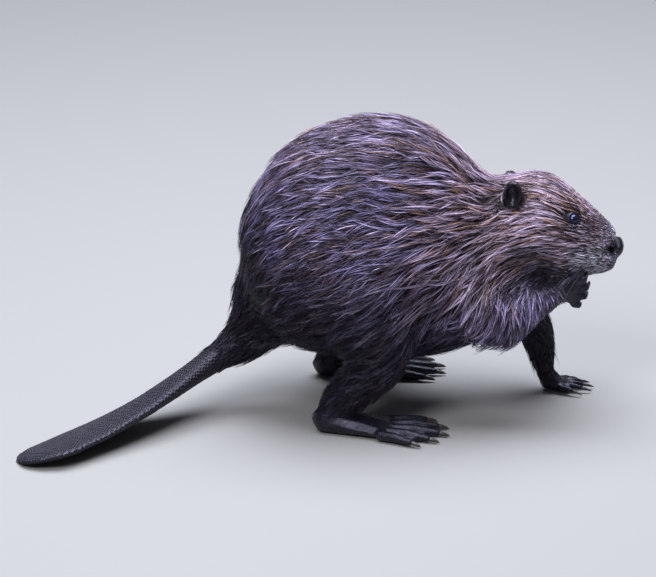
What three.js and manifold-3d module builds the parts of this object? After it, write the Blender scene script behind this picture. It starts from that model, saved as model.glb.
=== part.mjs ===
// A life-size still model of a beaver, standing hunched on its hind feet and its left forepaw,
// with the right forepaw raised to the mouth and the flat tail laid out behind to its right.
//
// Millimetres, +X towards the nose, +Y towards the beaver's left, +Z up, floor at z = 0.
// Every fleshy part is a loft: oval rings carried along a row of stations, with rounded ends.
// The parts are cut from each other with a thin gap, so that they meet without overlap.
import * as THREE from "three";
import { mergeVertices } from "three/addons/utils/BufferGeometryUtils.js";
import Module from "manifold-3d";

const wasm = await Module();
wasm.setup();

// ---- Driving dimensions ----

const GAP = 0.3; // between parts that touch
const LEFT = 1;
const RIGHT = -1;
const SIDES = [[LEFT, "left"], [RIGHT, "right"]];

// Stations are [x, y, z, half width, half height] at the outer tips of the coat, and for the
// body also how much narrower its upright section is at the top than in the middle.
const BODY_STATIONS = [
  [-157, 0, 204, 46, 28, 0.14],
  [-150, 0, 197, 70, 56, 0.14],
  [-138, 0, 192, 88, 81, 0.14],
  [-118, 0, 196, 104, 110, 0.14],
  [-84, 0, 203, 117, 131, 0.14],
  [-40, 0, 208, 123, 144, 0.14],
  [8, 0, 210, 121, 148, 0.14],
  [50, 0, 206, 113, 145, 0.14],
  [88, 0, 197, 99, 131, 0.12],
  [116, 0, 187, 87, 111, 0.08],
  [136, 0, 184, 79, 97, 0.04],
  [160, 0, 193, 72, 89, 0],
  [186, 0, 210, 65, 77, 0],
  [212, 0, 215, 58, 65, 0.02],
  [238, 0, 208.5, 48, 50.5, 0.05],
  [262, 0, 200, 37, 37, 0.05],
  [278, 0, 193, 27, 26, 0],
];
const RUMP_X = -161;
const NOSE_X = 287;
// The head is cocked to its left about its own length, fully so from the neck forwards.
const HEAD_ROLL = { angle: 0.19, height: 200, from: 90, to: 150 };

// Faces between trunk, neck and head: a point on each and the direction that it looks in.
const NECK_BACK = { point: [128, 0, 194], ahead: [0.979, 0, 0.203] };
const NECK_FRONT = { point: [156, 0, 202], ahead: [0.974, 0, 0.226] };

const EYE = { x: 230, y: 39, z: 231.5, radius: 7.5 };
const EAR = { x: 160, y: 50, z: 261, wide: 12, thick: 12, tall: 18, wall: 3, lean: 0.25 };
const NOSE = { x: 279, z: 195, long: 13.5, wide: 17, tall: 15 };
const NOSTRIL = { x: 281, y: 15, z: 196, radius: 4.5 };

const THIGH = [
  [-45, 72, 205, 45, 62],
  [-25, 84, 160, 42, 62],
  [2, 91, 112, 36, 50],
  [20, 93, 86, 29, 36],
];
const SHANK = [
  [16, 94, 84, 29, 31],
  [-24, 95, 54, 24, 26],
  [-55, 96, 24, 15, 17],
];
const ANKLE = { point: [-50, 0, 28], ahead: [0.1, 0, -0.995] };

const RAISED_UPPER_ARM = [
  [92, 66, 170, 36, 40],
  [118, 84, 140, 30, 36],
  [142, 90, 122, 27, 30],
];
const RAISED_FOREARM = [
  [142, 90, 122, 26, 28],
  [182, 75, 147, 18, 20],
  [214, 54, 155, 10.5, 12],
];
const RAISED_WRIST = { point: [216, -53, 155], ahead: [0.86, 0.5, 0.1] };
const PLANTED_UPPER_ARM = [
  [118, 62, 165, 30, 34],
  [152, 64, 122, 27, 30],
  [183, 60, 90, 24, 24],
];
const PLANTED_FOREARM = [
  [183, 60, 90, 23, 23],
  [197, 53, 56, 16.5, 17],
  [202, 46, 24, 10.5, 11],
];
const PLANTED_WRIST = { point: [202, 46, 21], ahead: [0.2, 0, -0.98] };

// A paw has its own directions: forward along the middle digit, across it from the first digit
// to the fifth, and back, which the back of the paw looks in. Its five digits start on a row
// that bows forward in the middle. They arch towards the back, reach forward and drop away from
// the back by parts of their lengths. turns are in radians from forward, and a claw's drop is in
// millimetres.
const RAISED_PAW = {
  palm: [[208, -57, 154, 10, 10], [223, -50, 157, 16, 8], [233, -45, 158, 19, 7]],
  forward: [0.96, 0.28, 0.03],
  across: [0.03, 0, -1],
  row: { middle: [234, -46, 159], half: 19, bow: 5 },
  turns: [-0.2, -0.08, 0.02, 0.14, 0.3],
  lengths: [18, 22, 24, 22, 16],
  radius: 4.4,
  arch: 0.2,
  reach: 0.78,
  drop: 0.36,
  claw: { length: 9, drop: 2 },
};
const PLANTED_PAW = {
  palm: [[201, 47, 26, 10.5, 10], [208, 46, 11.5, 15, 13], [221, 46, 6.5, 17, 8.5]],
  forward: [1, 0.05, 0],
  across: [0.05, -1, 0],
  row: { middle: [224, 46, 7], half: 15, bow: 4 },
  turns: [-0.5, -0.2, 0.02, 0.24, 0.55],
  lengths: [17, 24, 26, 24, 17],
  radius: 4.2,
  arch: 0.04,
  reach: 1,
  drop: 0.06,
  claw: { length: 12, drop: 1 },
};
const HIND_PAW = {
  palm: [[-66, 96, 15, 16, 17], [-40, 98, 12, 20, 14], [-5, 103, 9, 27, 10], [14, 107, 7, 30, 8]],
  forward: [0.985, 0.17, 0],
  across: [0.17, -0.985, 0],
  row: { middle: [14, 107, 7], half: 25, bow: 6 },
  turns: [-0.34, -0.17, 0, 0.17, 0.34],
  lengths: [44, 56, 62, 60, 50],
  radius: 6.2,
  arch: 0.02,
  reach: 1,
  drop: 0.04,
  claw: { length: 12, drop: 1.5 },
};
const WEB = { low: 1, thick: 3, reach: 0.9, dip: 0.72 }; // reach and dip as parts of the toes

const TAIL_ROOT = [
  [-118, 0, 150, 50, 50],
  [-128, -1, 115, 44, 46],
  [-146, -4, 88, 36, 34],
  [-168, -10, 72, 28, 22],
  [-184, -17, 64, 23, 18],
];
const TAIL_PADDLE = [
  [-188, -19, 62, 21, 15],
  [-212, -38, 51, 26, 13],
  [-242, -66, 39, 33, 11.5],
  [-278, -98, 26, 41, 10],
  [-318, -130, 15, 47, 9],
  [-358, -168, 9, 48, 8],
  [-388, -202, 7, 40, 6.5],
];
const TAIL_TIP = 26; // length of the rounded end beyond the last station
const TAIL_ROLL = 0.15; // radians that lift the tail's right edge

// ---- Solids ----

const vector = (values) => new THREE.Vector3(...values);

// Rings along a row of stations, closed at both ends. A cap is the length of a rounded end as a
// part of the station's half height, and a cap of 0 is a flat end. Beyond a rounded end the
// stations are mirrored, so that the surface runs smoothly over its pole.
// across: the direction that a ring's width follows. upright: rings stay square to +X.
// grow: thickens the shape all round. poles: places the two rounded ends. warp: bends the shape.
function loft(stations, options = {}) {
  const { sides = 12, steps = 2, caps = [0.7, 0.7], across = [0, 1, 0], upright = false } = options;
  const { grow = 0, poles = [], warp = (geometry) => geometry } = options;
  const centres = stations.map((station) => vector(station.slice(0, 3)));
  const sizes = stations.map(([, , , width, height, taper = 0]) =>
    new THREE.Vector3(width + grow, height + grow, taper));
  const poleOf = (end, next, cap, place) => {
    const outward = new THREE.Vector3().subVectors(centres.at(end), centres.at(next)).normalize();
    const length = cap * stations.at(end)[4];
    const pole = place ? vector(place) : centres.at(end).clone().addScaledVector(outward, length);
    return pole.addScaledVector(outward, grow);
  };
  const start = poleOf(0, 1, caps[0], poles[0]);
  const end = poleOf(-1, -2, caps[1], poles[1]);
  const flat = new THREE.Vector3();
  const path = new THREE.CatmullRomCurve3(
    [centres[0], start, ...centres, end, centres.at(-1)], false, "catmullrom", 0.5);
  const size = new THREE.CatmullRomCurve3(
    [sizes[0].clone().negate(), flat, ...sizes, flat, sizes.at(-1).clone().negate()],
    false, "catmullrom", 0.5);

  const spans = stations.length + 1;
  const firstRing = caps[0] === 0 ? steps : 1;
  const lastRing = caps[1] === 0 ? (spans - 1) * steps : spans * steps - 1;
  const positions = start.toArray();
  for (let ring = firstRing; ring <= lastRing; ring++) {
    const t = (1 + ring / steps) / (spans + 2);
    const { x: width, y: height, z: taper } = size.getPoint(t);
    const centre = path.getPoint(t);
    const along = upright ? new THREE.Vector3(1, 0, 0) : path.getTangent(t);
    const side = vector(across).projectOnPlane(along).normalize();
    const up = new THREE.Vector3().crossVectors(along, side);
    for (let k = 0; k < sides; k++) {
      const angle = (2 * Math.PI * k) / sides;
      const point = centre.clone()
        .addScaledVector(side, width * Math.cos(angle) * (1 - taper * Math.sin(angle)))
        .addScaledVector(up, height * Math.sin(angle));
      positions.push(...point.toArray());
    }
  }
  positions.push(...end.toArray());

  const faces = [];
  const rings = lastRing - firstRing + 1;
  const at = (ring, k) => 1 + ring * sides + (k % sides);
  for (let k = 0; k < sides; k++) {
    faces.push(0, at(0, k + 1), at(0, k));
    for (let ring = 0; ring < rings - 1; ring++) {
      faces.push(at(ring, k), at(ring, k + 1), at(ring + 1, k));
      faces.push(at(ring, k + 1), at(ring + 1, k + 1), at(ring + 1, k));
    }
    faces.push(rings * sides + 1, at(rings - 1, k), at(rings - 1, k + 1));
  }
  const geometry = new THREE.BufferGeometry();
  geometry.setAttribute("position", new THREE.Float32BufferAttribute(positions, 3));
  geometry.setIndex(faces);
  return solidOf(warp(geometry));
}

// A sphere stretched to three half sizes, turned about X by lean and moved to a centre.
function ellipsoid(centre, sizes, { lean = 0, around = 10, rows = 6 } = {}) {
  const geometry = new THREE.SphereGeometry(1, around, rows);
  geometry.rotateX(Math.PI / 2).scale(...sizes).rotateX(lean).translate(...centre);
  return solidOf(cocked(geometry));
}

// Turns a shape about the head's length: not at all at the trunk, fully from the neck forwards.
function cocked(geometry) {
  const { angle, height, from, to } = HEAD_ROLL;
  const position = geometry.getAttribute("position");
  for (let i = 0; i < position.count; i++) {
    const turn = angle * THREE.MathUtils.smoothstep(position.getX(i), from, to);
    const y = position.getY(i);
    const z = position.getZ(i) - height;
    position.setY(i, y * Math.cos(turn) + z * Math.sin(turn));
    position.setZ(i, height + z * Math.cos(turn) - y * Math.sin(turn));
  }
  return geometry;
}

function solidOf(geometry) {
  geometry.deleteAttribute("normal");
  geometry.deleteAttribute("uv");
  const merged = mergeVertices(geometry, 1e-3);
  const vertProperties = merged.getAttribute("position").array;
  const triVerts = new Uint32Array(merged.index.array);
  return new wasm.Manifold(new wasm.Mesh({ numProp: 3, vertProperties, triVerts }));
}

const join = (solids) => solids.reduce((whole, piece) => whole.add(piece));
const cut = (solid, tools) => tools.reduce((left, tool) => left.subtract(tool), solid);
const aboveFloor = (solid) => solid.trimByPlane([0, 0, 1], 0);

// The two parts of a solid behind and ahead of a flat face, a gap apart.
function partedAt(solid, { point, ahead }) {
  const normal = vector(ahead).normalize();
  const offset = normal.dot(vector(point));
  const behind = solid.trimByPlane(normal.clone().negate().toArray(), GAP / 2 - offset);
  return [behind, solid.trimByPlane(normal.toArray(), offset + GAP / 2)];
}

// The same stations, face or paw on the left (1) or the right (-1) side of the body.
const onSide = (side, stations) => stations.map(([x, y, ...rest]) => [x, side * y, ...rest]);
const pawOnSide = (side, paw) => {
  const [palm, [forward, across, middle]] = [
    onSide(side, paw.palm), onSide(side, [paw.forward, paw.across, paw.row.middle])];
  return { ...paw, palm, forward, across, row: { ...paw.row, middle } };
};

// ---- Head ----

function body(grow = 0) {
  const poles = [[RUMP_X, 0, BODY_STATIONS[0][2]], [NOSE_X, 0, BODY_STATIONS.at(-1)[2]]];
  return loft(BODY_STATIONS, { sides: 20, upright: true, poles, grow, warp: cocked });
}

function eye(side, grow = 0) {
  const size = EYE.radius + grow;
  return ellipsoid([EYE.x, side * EYE.y, EYE.z], [size, size, size]);
}

// A rounded flap, hollowed to a cup that opens outwards.
function earOutside(side, grow = 0) {
  const { x, y, z, wide, thick, tall, lean } = EAR;
  return ellipsoid([x, side * y, z], [wide + grow, thick + grow, tall + grow], { lean: -side * lean });
}

function ear(side) {
  const { x, y, z, wide, thick, tall, wall, lean } = EAR;
  const bowl = ellipsoid(
    [x - wall / 2, side * (y + thick * 0.7), z + wall / 2],
    [wide - wall, thick, tall - wall],
    { lean: -side * lean });
  return earOutside(side).subtract(bowl);
}

function noseOutside(grow = 0) {
  const { x, z, long, wide, tall } = NOSE;
  return ellipsoid([x, 0, z], [long + grow, wide + grow, tall + grow], { around: 12 });
}

function nose() {
  const { x, y, z, radius } = NOSTRIL;
  const nostrils = [LEFT, RIGHT].map((side) =>
    ellipsoid([x, side * y, z], [radius, radius, radius * 0.8], { around: 7, rows: 5 }));
  return cut(noseOutside(), nostrils);
}

// ---- Paws ----

// For each digit, the points along its middle from knuckle to end and those along its claw.
function digitPaths({ turns, lengths, forward, across, row, arch, reach, drop, claw }) {
  const [ahead, sideways] = [vector(forward).normalize(), vector(across).normalize()];
  const back = new THREE.Vector3().crossVectors(sideways, ahead);
  if (back.z < 0 || Math.abs(back.y) > Math.abs(back.z) && back.y > 0) {
    back.negate();
  }
  return turns.map((turn, k) => {
    const place = (k - 2) / 2;
    const along = ahead.clone().multiplyScalar(Math.cos(turn)).addScaledVector(sideways, Math.sin(turn));
    const knuckle = vector(row.middle)
      .addScaledVector(sideways, row.half * place)
      .addScaledVector(ahead, -row.bow * place * place);
    const point = (ahead, rise) => knuckle.clone().addScaledVector(along, ahead).addScaledVector(back, rise);
    const length = lengths[k];
    const digit = [knuckle, point(length * 0.5, length * arch), point(length * reach, -length * drop)];
    const outward = new THREE.Vector3().subVectors(digit[2], digit[1]).normalize();
    const onward = (distance) => digit[2].clone().addScaledVector(outward, distance);
    const tip = onward(claw.length).addScaledVector(back, -claw.drop);
    return [digit, [onward(GAP), onward(claw.length * 0.5), tip]];
  });
}

// Palm and digits, which end flat where the claws begin.
function pawSolid(paw, grow = 0) {
  const { palm, across, radius } = paw;
  const digits = digitPaths(paw).map(([[knuckle, middle, end]]) => loft([
    [...knuckle.toArray(), radius * 1.15, radius * 1.15],
    [...middle.toArray(), radius, radius],
    [...end.toArray(), radius * 0.75, radius * 0.75],
  ], { sides: 6, steps: 1, caps: [0.7, 0], across, grow }));
  return join([loft(palm, { sides: 8, steps: 1, across, grow }), ...digits]);
}

function claws({ across, radius, ...paw }, grow = 0) {
  return digitPaths({ across, ...paw }).map(([, [base, middle, tip]]) => loft([
    [...base.toArray(), radius * 0.55, radius * 0.6],
    [...middle.toArray(), radius * 0.4, radius * 0.42],
  ], { sides: 5, steps: 1, caps: [0, 1], poles: [base.toArray(), tip.toArray()], across, grow }));
}

// The skin between the hind toes: a flat fan with an edge that dips between neighbouring toes.
function web(paw) {
  const toes = digitPaths(paw).map(([[knuckle, , end]]) => [knuckle, end]);
  const onToe = ([knuckle, end], part) => knuckle.clone().lerp(end, part);
  const edge = toes.flatMap((toe, k) => [
    ...(k ? [onToe(toes[k - 1], WEB.dip).lerp(onToe(toe, WEB.dip), 0.5)] : []),
    onToe(toe, WEB.reach),
  ]);
  const outline = [toes[0][0], ...edge, toes.at(-1)[0]];
  const shape = new THREE.Shape(outline.map(({ x, y }) => new THREE.Vector2(x, y)));
  const geometry = new THREE.ExtrudeGeometry(shape, { depth: WEB.thick, bevelEnabled: false });
  return solidOf(geometry.translate(0, 0, WEB.low));
}

// ---- Legs ----

function hindLeg(side, grow = 0) {
  return join([
    loft(onSide(side, THIGH), { grow }),
    loft(onSide(side, SHANK), { grow }),
  ]);
}

function raisedForeleg(grow = 0) {
  return join([
    loft(onSide(RIGHT, RAISED_UPPER_ARM), { grow }),
    loft(onSide(RIGHT, RAISED_FOREARM), { grow }),
  ]);
}

function plantedForeleg(grow = 0) {
  return join([
    loft(onSide(LEFT, PLANTED_UPPER_ARM), { grow }),
    loft(onSide(LEFT, PLANTED_FOREARM), { grow }),
  ]);
}

// ---- Tail ----

function tailRoot(grow = 0) {
  return loft(TAIL_ROOT, { grow });
}

function tailPaddle(grow = 0) {
  const across = [0, Math.cos(TAIL_ROLL), -Math.sin(TAIL_ROLL)];
  const caps = [0.3, TAIL_TIP / TAIL_PADDLE.at(-1)[4]];
  return aboveFloor(loft(TAIL_PADDLE, { sides: 14, caps, across, grow }));
}

// ---- Assembly ----

const beaver = new THREE.Group();
beaver.name = "beaver";

function add(name, solid, material) {
  const { vertProperties, triVerts } = solid.getMesh();
  const geometry = new THREE.BufferGeometry();
  geometry.setAttribute("position", new THREE.BufferAttribute(vertProperties, 3));
  geometry.setIndex(new THREE.BufferAttribute(triVerts, 1));
  geometry.computeVertexNormals();
  const mesh = new THREE.Mesh(geometry, material);
  mesh.name = name;
  beaver.add(mesh);
}

const fur = new THREE.MeshStandardMaterial({ color: 0x2e2420, roughness: 0.7, metalness: 0 });
const scales = new THREE.MeshStandardMaterial({ color: 0x17161a, roughness: 0.5, metalness: 0 });
const hide = new THREE.MeshStandardMaterial({ color: 0x1d1b1f, roughness: 0.55, metalness: 0 });
const eyeball = new THREE.MeshStandardMaterial({ color: 0x08080a, roughness: 0.05, metalness: 0 });

const horn = new THREE.MeshStandardMaterial({ color: 0x2b211c, roughness: 0.45, metalness: 0 });

const legTools = [hindLeg(LEFT, GAP), hindLeg(RIGHT, GAP), raisedForeleg(GAP), plantedForeleg(GAP)];
const [trunk, front] = partedAt(cut(body(), [...legTools, tailRoot(GAP)]), NECK_BACK);
const [neck, head] = partedAt(front, NECK_FRONT);
const headTools = [LEFT, RIGHT].flatMap((side) => [eye(side, GAP), earOutside(side, GAP)]);
const raisedTools = [pawSolid(RAISED_PAW, GAP), ...claws(RAISED_PAW, GAP)];

add("trunk", trunk, fur);
add("neck", neck, fur);
add("head", cut(head, [...headTools, noseOutside(GAP), ...raisedTools]), fur);
add("nose", nose(), hide);
for (const [side, name] of SIDES) {
  add(`eye_${name}`, eye(side), eyeball);
  add(`ear_${name}`, ear(side), hide);
}

// A limb is parted at the ankle or wrist into a furred leg and a bare paw with its claws.
function addLimb(leg, paw, joint, toes, names) {
  const [upper, lower] = partedAt(aboveFloor(join([leg, ...paw])), joint);
  add(names.leg, upper, fur);
  add(names.paw, lower, hide);
  claws(toes).forEach((claw, k) => add(`${names.claw}_${k + 1}`, claw, horn));
}

for (const [side, name] of SIDES) {
  const paw = pawOnSide(side, HIND_PAW);
  const names = { leg: `hindleg_${name}`, paw: `hindfoot_${name}`, claw: `hindclaw_${name}` };
  addLimb(cut(hindLeg(side), [tailRoot(GAP)]), [pawSolid(paw), web(paw)], ANKLE, paw, names);
}
addLimb(raisedForeleg(), [pawSolid(RAISED_PAW)], RAISED_WRIST, RAISED_PAW,
  { leg: "foreleg_right", paw: "forepaw_right", claw: "foreclaw_right" });
addLimb(plantedForeleg(), [pawSolid(PLANTED_PAW)], PLANTED_WRIST, PLANTED_PAW,
  { leg: "foreleg_left", paw: "forepaw_left", claw: "foreclaw_left" });

add("tail_root", cut(tailRoot(), [tailPaddle(GAP)]), fur);
add("tail_paddle", tailPaddle(), scales);

// The origin is under the middle of the whole animal, on the floor.
const bounds = new THREE.Box3().setFromObject(beaver);
const middle = bounds.getCenter(new THREE.Vector3());
beaver.position.set(-middle.x, -middle.y, -bounds.min.z);

export default beaver;
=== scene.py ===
"""Skin, coat and finish of a life-size beaver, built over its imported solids.

One skin is made from the solids by joining, smoothing and sinking them by the coat's depth.
Tufts of fur lie over it, each a thin three-sided spike, gathered into wet-looking locks that
follow the lie of the coat. Eyes, claws, whiskers and the tail's scales are pieces of their own.
"""

import math

import bmesh
import bpy
import numpy as np
from mathutils import Matrix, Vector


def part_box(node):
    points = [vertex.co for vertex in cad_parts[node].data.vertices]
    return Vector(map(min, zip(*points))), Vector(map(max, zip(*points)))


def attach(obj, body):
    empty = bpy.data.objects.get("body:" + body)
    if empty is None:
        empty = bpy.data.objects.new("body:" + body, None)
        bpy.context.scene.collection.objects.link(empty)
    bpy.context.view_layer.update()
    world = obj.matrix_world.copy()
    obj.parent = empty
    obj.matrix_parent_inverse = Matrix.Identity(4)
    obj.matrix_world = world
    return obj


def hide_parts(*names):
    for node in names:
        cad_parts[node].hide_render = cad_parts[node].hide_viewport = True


bl_info = {
    "name": "Beaver",
    "version": (1, 0, 0),
    "blender": (4, 5, 0),
    "location": "3D View > Sidebar > Beaver",
    "description": "Builds the skin, fur, eyes, claws and tail scales of a life-size beaver",
    "category": "Object",
}

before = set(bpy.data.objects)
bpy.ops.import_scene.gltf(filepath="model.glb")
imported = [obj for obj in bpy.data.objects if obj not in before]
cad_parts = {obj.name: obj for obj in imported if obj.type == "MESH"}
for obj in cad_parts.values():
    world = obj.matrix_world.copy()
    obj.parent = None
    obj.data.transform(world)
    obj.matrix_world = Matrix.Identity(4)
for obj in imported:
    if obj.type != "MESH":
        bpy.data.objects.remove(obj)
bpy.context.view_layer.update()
BODY = "root"


# ---- Places, in metres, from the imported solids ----


def box_of(node):
    """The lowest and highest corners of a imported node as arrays."""
    low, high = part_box(node)
    return np.array(low), np.array(high)


def middle_of(node):
    """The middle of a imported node's box."""
    low, high = box_of(node)
    return (low + high) / 2


def unit(vectors):
    """Vectors divided by their own lengths."""
    return vectors / np.maximum(np.linalg.norm(vectors, axis=-1, keepdims=True), 1e-12)


RUMP_LENGTH = 0.161  # from the rump forwards to the origin that the lines of the coat use
TRUNK_LOW, TRUNK_HIGH = box_of("trunk")
ORIGIN = np.array([TRUNK_LOW[0] + RUMP_LENGTH, (TRUNK_LOW[1] + TRUNK_HIGH[1]) / 2, 0.0])
NOSE = middle_of("nose")
NOSE_TIP = box_of("nose")[1][0]
EYES = {"left": middle_of("eye_left"), "right": middle_of("eye_right")}
EYE_RADIUS = (box_of("eye_left")[1][0] - box_of("eye_left")[0][0]) / 2
SIDES = {"left": 1.0, "right": -1.0}

FORWARD = np.array([1.0, 0.0, 0.0])
UP = np.array([0.0, 0.0, 1.0])
HEAD_LEFT = unit(EYES["left"] - EYES["right"])
HEAD_UP = np.cross(FORWARD, HEAD_LEFT)

PAWS = ["forepaw_left", "forepaw_right", "hindfoot_left", "hindfoot_right"]
EARS = ["ear_left", "ear_right"]
LEGS = ["foreleg_left", "foreleg_right", "hindleg_left", "hindleg_right"]
TORSO = ["trunk", "neck", "head", "tail_root"] + LEGS
EXTREMITIES = PAWS + EARS + ["nose", "tail_paddle"]
FLESH = TORSO + EXTREMITIES
CLAWS = sorted(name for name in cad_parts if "claw_" in name)


def body_places(*places):
    """Places given from the origin of the coat's lines, as rows of an array."""
    return ORIGIN + np.array(places)


WRISTS = body_places(
    (0.216, -0.053, 0.155), (0.202, 0.046, 0.021), (-0.050, 0.096, 0.028), (-0.050, -0.096, 0.028)
)
TAIL_START = body_places((-0.188, -0.018, 0.062))[0]
HEELS = body_places((-0.070, 0.100, 0.016), (-0.070, -0.100, 0.016))


# ---- Arrays ----


def smooth_step(value, low, high):
    """0 below low and 1 above high, with a smooth S between them: 3t^2 - 2t^3."""
    t = np.clip((value - low) / (high - low), 0.0, 1.0)
    return t * t * (3.0 - 2.0 * t)


def mixed(a, b, share):
    """a where share is 0, b where it is 1, and between them in proportion."""
    return a + share * (b - a)


def distance_to(points, *places):
    """Distances of points to the nearest of some places."""
    return np.min([np.linalg.norm(points - place, axis=1) for place in places], 0)


def mesh_object(name, points, faces):
    """A linked object at the origin, from an array of points and one of equal-sided faces."""
    mesh = bpy.data.meshes.new(name)
    count, sides = faces.shape
    mesh.vertices.add(len(points))
    mesh.vertices.foreach_set("co", points.astype(np.float32).ravel())
    mesh.loops.add(count * sides)
    mesh.loops.foreach_set("vertex_index", faces.astype(np.int32).ravel())
    mesh.polygons.add(count)
    mesh.polygons.foreach_set("loop_start", np.arange(0, count * sides, sides, dtype=np.int32))
    mesh.update(calc_edges=True)
    return linked(name, mesh)


def linked(name, data):
    """A new object in the scene that holds a mesh, a light or a camera."""
    obj = bpy.data.objects.new(name, data)
    bpy.context.scene.collection.objects.link(obj)
    return obj


def numbers(collection, field, width, kind=np.float32):
    """One field of all items of a Blender collection as an array with that many columns."""
    values = np.empty(len(collection) * width, kind)
    collection.foreach_get(field, values)
    return values.reshape(-1, width) if width > 1 else values


def points_of(mesh):
    """A mesh's vertex places as a double-precision array."""
    return numbers(mesh.vertices, "co", 3).astype(float)


def normals_of(mesh):
    """A mesh's vertex normals."""
    return numbers(mesh.vertex_normals, "vector", 3).astype(float)


def triangles_of(mesh):
    """A mesh's triangles as rows of three vertex numbers."""
    mesh.calc_loop_triangles()
    return numbers(mesh.loop_triangles, "vertices", 3, np.int32)


def edges_of(mesh):
    """A mesh's edges as rows of two vertex numbers."""
    return numbers(mesh.edges, "vertices", 2, np.int32)


def set_points(mesh, points):
    """Moves a mesh's vertices to new places."""
    mesh.vertices.foreach_set("co", points.astype(np.float32).ravel())
    mesh.update()


def store(mesh, name, values, domain="POINT"):
    """Keeps an array of numbers or of 3D vectors on a mesh as a named attribute."""
    kind, field = ("FLOAT_VECTOR", "vector") if values.ndim == 2 else ("FLOAT", "value")
    attribute = mesh.attributes.get(name) or mesh.attributes.new(name, kind, domain)
    attribute.data.foreach_set(field, values.astype(np.float32).ravel())


def stored(mesh, name):
    """A named attribute as an array."""
    attribute = mesh.attributes[name]
    if attribute.data_type == "FLOAT_VECTOR":
        return numbers(attribute.data, "vector", 3).astype(float)
    return numbers(attribute.data, "value", 1).astype(float)


def smoothed(values, edges, rounds, share=0.5):
    """Values drawn towards their neighbours' mean m, again and again: v + share (m - v)."""
    columns = values.reshape(len(values), -1).copy()
    count = np.maximum(np.bincount(edges.ravel(), minlength=len(values)), 1)
    for _ in range(rounds):
        for column in range(columns.shape[1]):
            here = columns[:, column]
            total = np.bincount(edges[:, 0], here[edges[:, 1]], len(values))
            total += np.bincount(edges[:, 1], here[edges[:, 0]], len(values))
            columns[:, column] = here + share * (total / count - here)
    return columns.reshape(values.shape)


def segment_distances(points, line):
    """Distances of points to each segment of a line of places, one column for each segment."""
    starts, steps = line[:-1], np.diff(line, axis=0)
    offsets = points[:, None] - starts
    along = (offsets * steps).sum(-1) / (steps**2).sum(-1)
    nearest = np.clip(along, 0.0, 1.0)[..., None] * steps
    return np.linalg.norm(offsets - nearest, axis=-1)


def waves(points, size, seed):
    """Smooth noise from about -1 to 1: the mean of eight sine waves in random directions."""
    rng = np.random.default_rng(seed)
    ways = unit(rng.normal(size=(8, 3))) * rng.uniform(0.6, 1.5, (8, 1)) * math.tau / size
    return np.sin(points @ ways.T + rng.uniform(0.0, math.tau, 8)).mean(1) * 2.0


# ---- Surfaces read through modifiers and geometry nodes ----


def evaluated(obj):
    """The mesh that an object's modifiers give."""
    bpy.context.view_layer.update()
    return obj.evaluated_get(bpy.context.evaluated_depsgraph_get()).data


def applied(obj):
    """Replaces an object's mesh by what its modifiers give, and clears them."""
    bpy.context.view_layer.update()
    shown = obj.evaluated_get(bpy.context.evaluated_depsgraph_get())
    result = bpy.data.meshes.new_from_object(shown)
    obj.modifiers.clear()
    obj.data = result
    return obj


def discard(obj):
    """Removes a helper object."""
    bpy.data.objects.remove(obj)


class Nodes:
    """The nodes of one tree. Inputs are numbers, colours, names or other nodes' outputs."""

    def __init__(self, tree):
        self.tree = tree

    def feed(self, node, inputs):
        """Sets a node's inputs to values, or links other nodes' outputs to them."""
        for name, value in inputs.items():
            if isinstance(value, bpy.types.NodeSocket):
                self.tree.links.new(value, node.inputs[name])
            else:
                node.inputs[name].default_value = value
        return node

    def node(self, kind, inputs=None, **settings):
        """A node with its settings and inputs."""
        node = self.tree.nodes.new(kind)
        for name, value in settings.items():
            setattr(node, name, value)
        return self.feed(node, inputs or {})

    def named(self, name, kind):
        """A named attribute, read in a geometry tree."""
        node = self.node("GeometryNodeInputNamedAttribute", {"Name": name}, data_type=kind)
        return node.outputs["Attribute"]


def geometry_tree(name):
    """The nodes of an empty geometry tree, and the geometry that it is given."""
    tree = bpy.data.node_groups.new(name, "GeometryNodeTree")
    for way in ("INPUT", "OUTPUT"):
        tree.interface.new_socket("Geometry", in_out=way, socket_type="NodeSocketGeometry")
    nodes = Nodes(tree)
    return nodes, nodes.node("NodeGroupInput").outputs[0]


def run_nodes(nodes, result, obj):
    """The mesh that a geometry tree with this result makes from an object."""
    nodes.node("NodeGroupOutput", {0: result})
    modifier = obj.modifiers.new(nodes.tree.name, "NODES")
    modifier.node_group = nodes.tree
    return evaluated(obj)


def nearest_values(points, surface, names):
    """The surface's named vectors at the places on it nearest to the points.

    The name "position" stands for the nearest place itself.
    """
    nodes, last = geometry_tree("nearest")
    source = nodes.node("GeometryNodeObjectInfo", {"Object": surface}).outputs["Geometry"]
    for name in names:
        if name == "position":
            value = nodes.node("GeometryNodeInputPosition").outputs[0]
        else:
            value = nodes.named(name, "FLOAT_VECTOR")
        inputs = {"Mesh": source, "Value": value}
        sample = nodes.node("GeometryNodeSampleNearestSurface", inputs, data_type="FLOAT_VECTOR")
        inputs = {"Geometry": last, "Name": "near_" + name, "Value": sample.outputs["Value"]}
        settings = {"data_type": "FLOAT_VECTOR", "domain": "POINT"}
        last = nodes.node("GeometryNodeStoreNamedAttribute", inputs, **settings).outputs["Geometry"]
    mesh = bpy.data.meshes.new("probe")
    mesh.vertices.add(len(points))
    set_points(mesh, points)
    probe = linked("probe", mesh)
    result = run_nodes(nodes, last, probe)
    found = [stored(result, "near_" + name) for name in names]
    discard(probe)
    return found


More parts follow.
